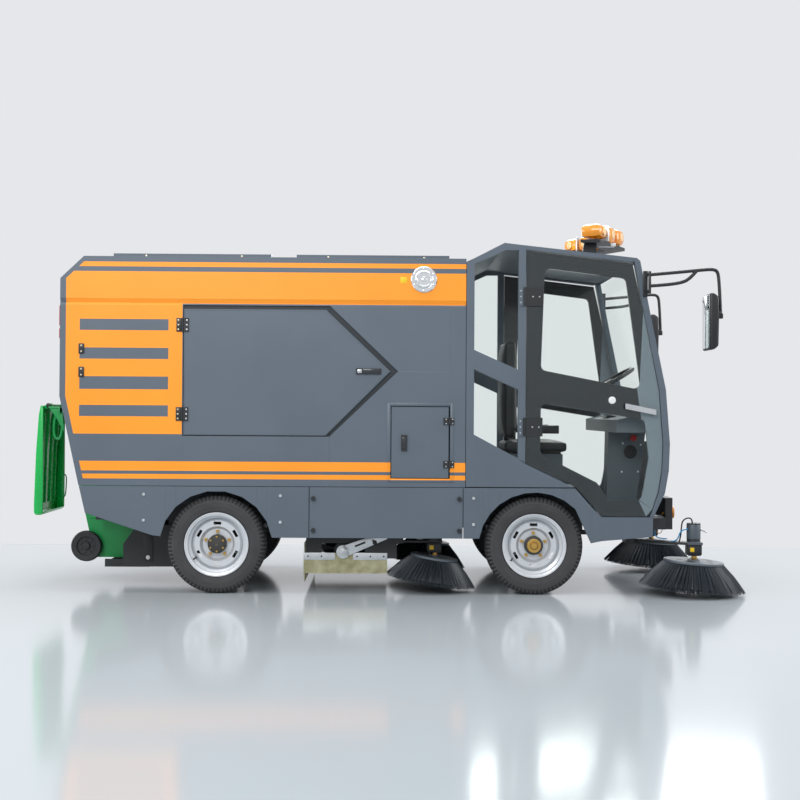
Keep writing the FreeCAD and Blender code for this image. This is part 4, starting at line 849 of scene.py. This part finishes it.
def mirrorHead(hand, side):
    y = mirror["out"] * side
    bm = bmesh.new()
    outline = [(2979, 1506), (3004, 1506), (3034, 1530), (3037, 1700), (3034, 1828), (3004, 1850),
               (2979, 1850)]
    addPlate(bm, [at(x, y - 94 * side, z) for x, z in outline], (0, 0.188 * side, 0), 0.012)
    addRod(bm, at(3040, y, 1712), at(3040, y, 1752), 0.012, 16, edge=0.002)
    shell = finishPiece("mirrorShell" + hand, bm, blackPlastic, "mirror_" + hand.lower())
    bm = bmesh.new()
    addPlate(bm, [at(2977, y + a, z) for a, z in ((-84, 1518), (84, 1518), (84, 1838), (-84, 1838))],
             (0.0015, 0, 0), 0.0006)
    finishPiece("mirrorPane" + hand, bm, mirrorGlass, "mirror_" + hand.lower())
    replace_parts(shell, "mirror_head_" + hand.lower())


armTubes = [mirrorArm(hand.title(), side) for hand, side in sides]
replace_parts(armTubes[0], "mirror_arms")
for hand, side in sides:
    mirrorHead(hand.title(), side)
print("mirrors made")

# hinges, catches, screws and stickers on the body
screw = {"radius": 4.2, "proud": 3.2}


def addScrew(bm, x, z, side, y=750, radius=None, proud=None):
    # pan head with a hex recess, axis square to the side panel
    radius = radius or screw["radius"]
    proud = proud or screw["proud"]
    base, top = at(x, y * side, z), at(x, (y + proud) * side, z)
    profile = [(0, 0), (radius, 0), (radius, proud * 0.45), (radius * 0.8, proud * 0.9),
               (radius * 0.42, proud), (radius * 0.42, proud * 0.5), (0, proud * 0.5)]
    addLathe(bm, [(r / 1000, h / 1000) for r, h in profile], base, top - base, 16)


def bodyFittings(hand, side):
    body = "service_door_" + hand
    plates, screws, doorScrews = bmesh.new(), bmesh.new(), bmesh.new()
    for z in (1100, 1646):
        addBox(plates, at(-250, 750.2 * side, z - 42), at(-219, 754.6 * side, z + 42), 0.0012)
        for dz in (-28, 0, 28):
            addScrew(screws, -238, z + dz, side, 754.4, 6)
            addScrew(doorScrews, -186, z + dz, side, 754.8, 6)
    for z in (1354, 1497):  # black two-screw catches on the rear panel
        addBox(plates, at(-846, 750.2 * side, z - 31), at(-812, 759 * side, z + 31), 0.004)
        addScrew(screws, -829, z - 18, side, 758.8, 6)
        addScrew(screws, -829, z + 18, side, 758.8, 6)
    for x in (-458, 135, 672, 1269):  # roof cover screws
        addScrew(screws, x, 2081, side, 640, 7, 4)
    finishPiece("bodyHingePlates" + hand.title(), plates, blackPlastic, "chassis")
    finishPiece("bodyScrews" + hand.title(), screws, yellowScrews, "chassis")
    addBox(doorScrews, at(860, 759 * side, 1358), at(886, 762 * side, 1380), 0.001)
    finishPiece("doorScrews" + hand.title(), doorScrews, zinc, body)
    # paddle latch dished into its black plate
    paddle = bmesh.new()
    addBox(paddle, at(893, 759.5 * side, 1356), at(998, 763 * side, 1382), 0.003)
    finishPiece("doorPaddle" + hand.title(), paddle, doorBlack, body)
    # folded edge of the leaf
    lip = bmesh.new()
    inner = [(-198, 978), (662, 978), (1046, 1369), (662, 1738), (-198, 1738)]
    for a, b in zip(inner, inner[1:] + inner[:1]):
        addRod(lip, at(a[0], 749.2 * side, a[1]), at(b[0], 749.2 * side, b[1]), 0.0022, 8)
    finishPiece("doorFold" + hand.title(), lip, slatePaint, body)


# yellow-passivated screw heads: pale gold, half metal
yellowScrews = plainMaterial("passivatedScrew", "#D9D2BE", "#C2B48C", 0.3, (90.0, 0.1, 0.0004),
                            (40.0, 0.8), Metallic=0.7)
for hand, side in sides:
    bodyFittings(hand, side)

hatch = {"rear": 1066, "front": 1430, "low": 712, "high": 1156, "rim": 20}


def hatchTrim():
    r = hatch["rim"]
    bm = bmesh.new()
    x0, x1, z0, z1 = hatch["rear"] - 2, hatch["front"] + 2, hatch["low"] - 2, hatch["high"] + 2
    for low, high in (((x0 - r, z0 - r), (x0, z1 + r)), ((x1, z0 - r), (x1 + r, z1 + r)),
                      ((x0, z0 - r), (x1, z0)), ((x0, z1), (x1, z1 + r))):
        addBox(bm, at(low[0], -749.8, low[1]), at(high[0], -752, high[1]), 0.0009)
    finishPiece("hatchSurround", bm, sidePaint, "chassis")
    plates, screws, doorScrews = bmesh.new(), bmesh.new(), bmesh.new()
    for z in (800, 1064):
        addBox(plates, at(1436, -752, z - 22), at(1456, -755, z + 22), 0.001)
        for dz in (-13, 13):
            addScrew(screws, 1446, z + dz, -1, 754.8, 4.5)
            addScrew(doorScrews, 1406, z + dz, -1, 754.8, 4.5)
    finishPiece("hatchHingePlates", plates, blackPlastic, "chassis")
    finishPiece("hatchScrews", screws, zinc, "chassis")
    finishPiece("hatchDoorScrews", doorScrews, zinc, "access_door")
    bm = bmesh.new()
    addBox(bm, at(1137, -759.5, 896), at(1159, -763, 966), 0.003)
    finishPiece("hatchPaddle", bm, doorBlack, "access_door")
    bm = bmesh.new()
    addBox(bm, at(1120, -749.8, 1912), at(1160, -750.6, 1950), 0.0003)
    finishPiece("bodySticker", bm, yellowLabel, "chassis")


hatchTrim()

filler = {"spot": (1265, 1935), "flange": 80, "cap": 54}


def fillerCap():
    x, z = filler["spot"]
    bm = bmesh.new()
    r, c = filler["flange"], filler["cap"]
    profile = [(0, 0), (r, 0), (r, 5), (r - 3, 8), (c + 5, 9.5), (c + 1, 8.5), (c + 1, 6), (c, 6), (c, 20),
               (c - 4, 23.5), (c - 12, 23.5), (c - 14, 21), (16, 21), (14, 23.5), (0, 23.5)]
    addLathe(bm, [(a / 1000, b / 1000) for a, b in profile], at(x, -750.4, z), (0, -1, 0), 72)
    for k in range(6):
        turn = math.tau * (k + 0.5) / 6
        spot = at(x + 67 * math.cos(turn), -758.2, z + 67 * math.sin(turn))
        addRod(bm, spot, spot + Vector((0, -0.003, 0)), 0.006, 12, edge=0.001)
    addBox(bm, at(x - 10, -773.8, z - 2.5), at(x + 10, -774.2, z + 2.5), 0.0003)
    cap = finishPiece("fillerCap", bm, chrome, "filler_cap")
    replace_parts(cap, "filler_cap")


fillerCap()
print("body fittings made")

# wheels: hub bolts, caps and valves
hub = {"boltRing": 45, "boltRadius": 6.5}


def hubFittings():
    hubZ = axleHeight * 1000
    bm = bmesh.new()
    for side in (-1, 1):
        for k in range(6):
            turn = math.tau * (k + 0.5) / 6
            spot = at(hub["boltRing"] * math.cos(turn), 702 * side, hubZ + hub["boltRing"] * math.sin(turn))
            addRod(bm, spot, spot + Vector((0, 0.008 * side, 0)), hub["boltRadius"] / 1000, 6, edge=0.001)
    finishPiece("rearHubBolts", bm, yellowZinc, "rear_wheels")
    for hand, side in sides:
        bm = bmesh.new()
        ring = [(0.020, 0.0), (0.043, 0.0), (0.043, 0.004), (0.040, 0.007), (0.026, 0.007), (0.024, 0.003),
                (0.020, 0.003), (0.020, 0.0)]
        addLathe(bm, ring, at(wheelbase, 706 * side, hubZ), (0, side, 0), 48)
        addLathe(bm, [(0, 0.0), (0.021, 0.0), (0.021, 0.010), (0.018, 0.014), (0, 0.015)],
                 at(wheelbase, 706 * side, hubZ), (0, side, 0), 40)
        finishPiece("frontHubCap" + hand.title(), bm, yellowZinc, "front_wheel_" + hand)
    for body, x, ends in (("rear_wheels", 0, (-1, 1)), ("front_wheel_right", wheelbase, (-1,)),
                          ("front_wheel_left", wheelbase, (1,))):
        bm = bmesh.new()
        for side in ends:
            bend = at(x - 138, 700 * side, hubZ - 90)
            addRod(bm, at(x - 130, 668 * side, hubZ - 84), bend, 0.004, 10)
            addRod(bm, bend, at(x - 140, 708 * side, hubZ - 91), 0.0055, 10, edge=0.001)
        finishPiece("valve" + body.title().replace("_", ""), bm, blackPlastic, body)


hubFittings()
print("wheel fittings made")

# roller arms, strip and flap fixings
sweepGear = {"hub": (775, 247), "pivot": (1030, 350), "armY": 606.4, "stripZ": (196, 240)}


def rollerArms():
    bm = bmesh.new()
    hubX, hubZ = sweepGear["hub"]
    pivotX, pivotZ = sweepGear["pivot"]
    y = sweepGear["armY"]
    for side in (-1, 1):
        beam = [(hubX - 14, hubZ + 33), (hubX + 22, hubZ - 30), (pivotX + 20, pivotZ - 22),
                (pivotX - 4, pivotZ + 24)]
        addPlate(bm, [at(px, y * side, pz) for px, pz in beam], (0, 0.007 * side, 0), 0.002)
        addRod(bm, at(hubX, y * side, hubZ), at(hubX, (y + 7) * side, hubZ), 0.043, 40, edge=0.002)
        addRod(bm, at(hubX, (y + 6) * side, hubZ), at(hubX, (y + 12) * side, hubZ), 0.022, 32, edge=0.003)
        addRod(bm, at(hubX, (y + 12) * side, hubZ), at(hubX, (y + 17) * side, hubZ), 0.011, 6, edge=0.002)
        addRod(bm, at(hubX, 573 * side, hubZ), at(hubX, 599 * side, hubZ), 0.018, 24)
        addRod(bm, at(pivotX, (y + 7) * side, pivotZ), at(pivotX, (y + 13) * side, pivotZ), 0.015, 6,
               edge=0.002)
    addRod(bm, at(pivotX, -606, pivotZ), at(pivotX, 606, pivotZ), 0.021, 24)
    arms = finishPiece("rollerArmPair", bm, zinc, "roller_arms")
    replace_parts(arms, "roller_arms")
    # a thin black strip on each arm is painted shade where its slot is
    slotShade = bmesh.new()
    for side in (-1, 1):
        rise = Vector((math.cos(0.385), 0, math.sin(0.385)))
        start = at(848, 612.8 * side, 281)
        width = Vector((-rise.z, 0, rise.x)) * 0.006
        ends = [start - width, start + rise * 0.07 - width, start + rise * 0.07 + width, start + width]
        addPlate(slotShade, ends, (0, 0.0008 * side, 0))
    finishPiece("rollerArmSlotShades", slotShade, blackPaint, "roller_arms")
    low, high = sweepGear["stripZ"]
    strip, holes = bmesh.new(), bmesh.new()
    for side in (-1, 1):
        addBox(strip, at(528, 604.1 * side, low), at(724, 605.6 * side, high), 0.0006)
        addBox(strip, at(836, 604.1 * side, low), at(1050, 605.6 * side, high), 0.0006)
        for x in (556, 640, 862, 945, 1028):
            addRod(holes, at(x, 605 * side, 218), at(x, 605.9 * side, 218), 0.006, 6)
    finishPiece("flapStrips", strip, zinc, "chassis")
    finishPiece("flapBolts", holes, blackPlastic, "chassis")
    bm = bmesh.new()
    for side in (-1, 1):
        addRod(bm, at(972, 600 * side, 306), at(972, 622 * side, 306), 0.014, 20, edge=0.003)
        addRod(bm, at(958, 616 * side, 322), at(986, 616 * side, 290), 0.006, 12, edge=0.001)
        addScrew(bm, 1092, 356, side, 604, 8, 5)
    finishPiece("housingKnobs", bm, blackPlastic, "chassis")


rollerArms()
bm, plateScrews = bmesh.new(), bmesh.new()
for side in (-1, 1):
    addBox(bm, at(-506, 392 * side, 158), at(-446, 397 * side, 330), 0.0015)
    addScrew(plateScrews, -476, 182, side, 396.8, 13, 6)
finishPiece("cradleBars", bm, blackPaint, "chassis")
finishPiece("cradleScrews", plateScrews, whiteEnamel, "chassis")

# side brush motors, gearboxes, hoses
# points from the brush's axis, the inboard side of the motor being negative in the second number
motorLead = {"name": "motorLead", "length": 0.226, "diameter": 0.009, "stiffness": "medium",
             "route": [(-12, 20, 436), (-14, 21, 470), (-48, 20, 474), (-74, 12, 452), (-78, 8, 410),
                       (-80, 2, 360), (-86, -14, 322)]}
motorAirLine = {"name": "motorAirLine", "length": 0.232, "diameter": 0.008, "stiffness": "medium",
                "route": [(-40, 18, 404), (-66, 20, 402), (-90, 14, 380), (-96, 4, 346),
                          (-110, -14, 326), (-140, -44, 318), (-190, -90, 318)]}


def cordPiece(name, look, route, body):
    # a hose or lead that hangs between two fittings
    curve = smoothLine(name, route, look["diameter"] / 2, 3, 10)
    curve.materials.append(look["finish"])
    piece = bpy.data.objects.new(name, curve)
    bpy.context.scene.collection.objects.link(piece)
    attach(piece, body)
    return piece


def brushDrive(hand, side):
    for kind, (x, y), low in (("front", frontBrush["spot"], 306), ("middle", middleBrush["spot"], 300)):
        body = f"{kind}_brush_arm_{hand}"
        y = y * side
        bm = bmesh.new()
        addBox(bm, at(x - 44, y - 40, low - 62), at(x + 44, y + 40, low), 0.004)
        for dx in (-34, 34):
            for dy in (-30, 30):
                addRod(bm, at(x + dx, y + dy, low - 68), at(x + dx, y + dy, low + 3), 0.0045, 8)
        finishPiece(f"{kind}Gearbox{hand.title()}", bm, blackPlastic, body)
        bm = bmesh.new()
        foot = low - 98 if kind == "front" else low - 90
        addRod(bm, at(x + 4, y, foot), at(x + 4, y, low - 58), 0.016, 24, edge=0.002)
        addRod(bm, at(x + 4, y, low - 84), at(x + 4, y, low - 76), 0.021, 6, edge=0.001)
        finishPiece(f"{kind}Spindle{hand.title()}", bm, yellowZinc, body)
        bm = bmesh.new()
        addBox(bm, at(x - 30, y + 40 * side, low - 42), at(x - 4, y + 40.8 * side, low - 16), 0.0003)
        finishPiece(f"{kind}MotorSticker{hand.title()}", bm, yellowLabel, body)
    body = f"front_brush_arm_{hand}"
    x, y = frontBrush["spot"][0], frontBrush["spot"][1] * side
    bm = bmesh.new()
    profile = [(0, 0), (0.043, 0), (0.043, 0.004), (0.0405, 0.006), (0.0405, 0.02), (0.043, 0.022),
               (0.043, 0.108), (0.040, 0.114), (0, 0.116)]
    addLathe(bm, profile, at(x, y, 322), (0, 0, 1), 48)
    addBox(bm, at(x - 48, y - 46, 306), at(x + 48, y + 46, 323), 0.003)
    finishPiece("frontMotor" + hand.title(), bm, motorGrey, body)
    bm = bmesh.new()
    addRod(bm, at(x + 42, y + 4 * side, 398), at(x + 52, y + 4 * side, 396), 0.007, 12, edge=0.001)
    addRod(bm, at(x + 50, y + 4 * side, 397), at(x + 82, y + 4 * side, 382), 0.0042, 10, edge=0.001)
    finishPiece("frontMotorTap" + hand.title(), bm, zinc, body)
    for look in (motorLead, motorAirLine):
        route = [at(x + dx, y + dy * side, z) for dx, dy, z in look["route"]]
        cordPiece(look["name"] + hand.title(), look, route, body)


# motor enamel on a rolled can: plain grey, satin
motorGrey = plainMaterial("motorGreyEnamel", "#4A545C", "#3D464E", 0.4, edge=0.002)
# polyurethane air line: blue, smooth
blueHose = plainMaterial("bluePolyurethaneHose", "#1E8FC4", "#1778AA", 0.3)
motorLead["finish"], motorAirLine["finish"] = blackPlastic, blueHose
for hand, side in sides:
    brushDrive(hand, side)
print("brush drives made")

# cab: hinge screws, door locks, dash fittings
cab = {"hingeHeights": (1834, 1033), "strapX": (1935, 1975)}


def cabFittings(hand, side):
    bm, moving = bmesh.new(), bmesh.new()
    for z in cab["hingeHeights"]:
        for dz in (-36, 0, 36):
            addScrew(bm, 1861, z + dz, side, 755.8, 5)
        for x in cab["strapX"]:
            addScrew(moving, x, z, side, 755.8, 5)
    finishPiece("pillarHingeScrews" + hand.title(), bm, zinc, "chassis")
    finishPiece("strapScrews" + hand.title(), moving, zinc, f"cab_door_{hand}")
    lock = bmesh.new()
    addLathe(lock, [(0, 0), (0.0225, 0), (0.0225, 0.003), (0.019, 0.0055), (0.010, 0.0055), (0.009, 0.004),
                    (0, 0.004)], at(2426, 750.5 * side, 1201), (0, side, 0), 40)
    finishPiece("doorLock" + hand.title(), lock, whiteEnamel, f"cab_door_{hand}")


for hand, side in sides:
    cabFittings(hand, side)

dash = {"face": -320, "vent": (2621, 873), "screws": ((2573, 926), (2690, 918), (2567, 742), (2672, 744))}


def dashFittings():
    bm = bmesh.new()
    x, z = dash["vent"]
    ring = [(0.0, 0.0), (0.043, 0.0), (0.043, 0.004), (0.036, 0.006), (0.032, 0.002), (0.012, 0.002),
            (0.011, 0.006), (0, 0.006)]
    addLathe(bm, ring, at(x, dash["face"] - 0.5, z), (0, -1, 0), 40)
    for k in range(6):
        turn = math.tau * k / 6
        a = at(x + 12 * math.cos(turn), dash["face"] - 4, z + 12 * math.sin(turn))
        b = at(x + 33 * math.cos(turn), dash["face"] - 4, z + 33 * math.sin(turn))
        addRod(bm, a, b, 0.002, 8)
    finishPiece("dashVent", bm, blackPlastic, "chassis")
    bm = bmesh.new()
    for x, z in dash["screws"]:
        addScrew(bm, x, z, -1, 320.2, 6)
    finishPiece("dashScrews", bm, whiteEnamel, "chassis")
    bm = bmesh.new()
    addBox(bm, at(2500, -150, 1098), at(2560, 150, 1106), 0.004)
    for k in range(6):
        addRod(bm, at(2530, -110 + 44 * k, 1104), at(2530, -110 + 44 * k, 1112), 0.008, 16, edge=0.001)
    finishPiece("dashSwitches", bm, blackPlastic, "chassis")


dashFittings()
print("cab fittings made")

# front lamps
lampLook = {"out": 525, "height": 498}


def frontLamps():
    bm = bmesh.new()
    for side in (-1, 1):
        dome = [(0, 0), (0.0375, 0), (0.0375, 0.004), (0.034, 0.012), (0.024, 0.018), (0.010, 0.0205),
                (0, 0.0208)]
        addLathe(bm, dome, at(2835.2, lampLook["out"] * side, lampLook["height"]), (1, 0, 0), 48)
    finishPiece("frontIndicators", bm, amberLens, "chassis")
    bm = bmesh.new()
    for side in (-1, 1):
        addBox(bm, at(2790, 598 * side, 398), at(2834.8, 302 * side, 592), 0.006)
    finishPiece("lampHousings", bm, blackPlastic, "chassis")
    bm = bmesh.new()
    for low, high in ((-590, -480), (480, 590)):
        addBox(bm, at(2703, low, 430), at(2788, high, 478), 0.008)
    finishPiece("valveBlocks", bm, zincSheet, "chassis")
    for look in (lampWire, valveLine):
        cordPiece(look["name"], look, [at(*spot) for spot in look["route"]], "chassis")


lampWire = {"name": "indicatorWire", "length": 0.254, "diameter": 0.0044, "stiffness": "limp",
            "finish": plainMaterial("orangeWire", "#D08A2A", "#B87620", 0.4),
            "route": [(2790, -560, 500), (2768, -566, 484), (2766, -574, 430), (2776, -596, 386),
                      (2752, -598, 366), (2722, -598, 384), (2714, -594, 420), (2716, -588, 452)]}
valveLine = {"name": "valveAirLine", "length": 0.197, "diameter": 0.007, "stiffness": "medium",
             "finish": blueHose,
             "route": [(2728, -590, 462), (2728, -612, 452), (2724, -618, 410), (2716, -616, 368),
                       (2742, -612, 340), (2800, -606, 338)]}
frontLamps()
print("lamps made")

# floor, light and camera
studio = {"floor": "#ABB2B6", "wall": "#E6E7EA", "wallLine": 2.2, "sky": 1.0, "softbox": 390.0}
camera = {"spot": (0.0056, -8.657, 1.121), "pitch": 0.53, "roll": 0.36, "yaw": 0.74, "lens": 58.0}


def floorFinish():
    # poured epoxy: pale grey, glossy, with a faint unevenness that blurs what it mirrors
    material, tree, shader = startMaterial("epoxyFloor", Roughness=0.12)
    place = addNode(tree, "TexCoord").outputs["Object"]
    tint = speckled(tree, colour(studio["floor"]), colour("#A3ABB0"), 0.7, 0.8)
    tree.links.new(tint, shader.inputs["Base Color"])
    tree.links.new(grainNormal(tree, 1.6, 0.05, 0.01), shader.inputs["Normal"])
    glow = addNode(tree, "Emission", {"Color": colour(studio["wall"]), "Strength": 1.0})
    y = addNode(tree, "SeparateXYZ", {0: place}).outputs[1]
    beyond = addNode(tree, "Math", {0: y, 1: studio["wallLine"]}, operation="GREATER_THAN")
    mix = addNode(tree, "MixShader", {0: beyond, 1: shader.outputs[0], 2: glow.outputs[0]})
    tree.links.new(mix.outputs[0], tree.nodes["Material Output"].inputs["Surface"])
    return material


bm = bmesh.new()
bmesh.ops.create_grid(bm, x_segments=1, y_segments=1, size=60)
floorMesh = bpy.data.meshes.new("studioFloor")
bm.to_mesh(floorMesh)
bm.free()
studioFloor = bpy.data.objects.new("studioFloor", floorMesh)
bpy.context.scene.collection.objects.link(studioFloor)
floorMesh.materials.append(floorFinish())

world = bpy.data.worlds.new("studioAir")
bpy.context.scene.world = world
world.use_nodes = True
world.node_tree.nodes["Background"].inputs["Color"].default_value = colour(studio["wall"])
world.node_tree.nodes["Background"].inputs["Strength"].default_value = studio["sky"]


def softbox(name, spot, aim, size, watts):
    lamp = bpy.data.lights.new(name, "AREA")
    lamp.shape = "RECTANGLE"
    lamp.size, lamp.size_y = size
    lamp.energy = watts
    holder = bpy.data.objects.new(name, lamp)
    holder.location = spot
    holder.rotation_euler = (Vector(aim) - Vector(spot)).to_track_quat("-Z", "Y").to_euler()
    bpy.context.scene.collection.objects.link(holder)


softbox("topSoftbox", (0, 0, 6.5), (0, 0, 0), (8, 5), studio["softbox"])
softbox("rightSoftbox", (-2.5, -7.0, 5.0), (0, 0, 1.2), (5, 3), studio["softbox"] * 0.8)
softbox("leftSoftbox", (2.0, 7.0, 4.5), (0, 0, 1.2), (5, 3), studio["softbox"] * 0.7)
softbox("frontSoftbox", (8.0, -1.0, 3.5), (0, 0, 1.2), (4, 3), studio["softbox"] * 0.5)
softbox("rearSoftbox", (-8.0, -1.0, 3.5), (0, 0, 1.2), (4, 3), studio["softbox"] * 0.5)

lens = bpy.data.cameras.new("studioCamera")
lens.lens = camera["lens"]
lens.sensor_width = 36.0
viewer = bpy.data.objects.new("studioCamera", lens)
viewer.location = camera["spot"]
viewer.rotation_euler = (math.radians(90 + camera["pitch"]), math.radians(-camera["roll"]),
                         math.radians(-camera["yaw"]))
bpy.context.scene.collection.objects.link(viewer)
bpy.context.scene.camera = viewer
bpy.context.scene.view_settings.view_transform = "Standard"
print("studio set")
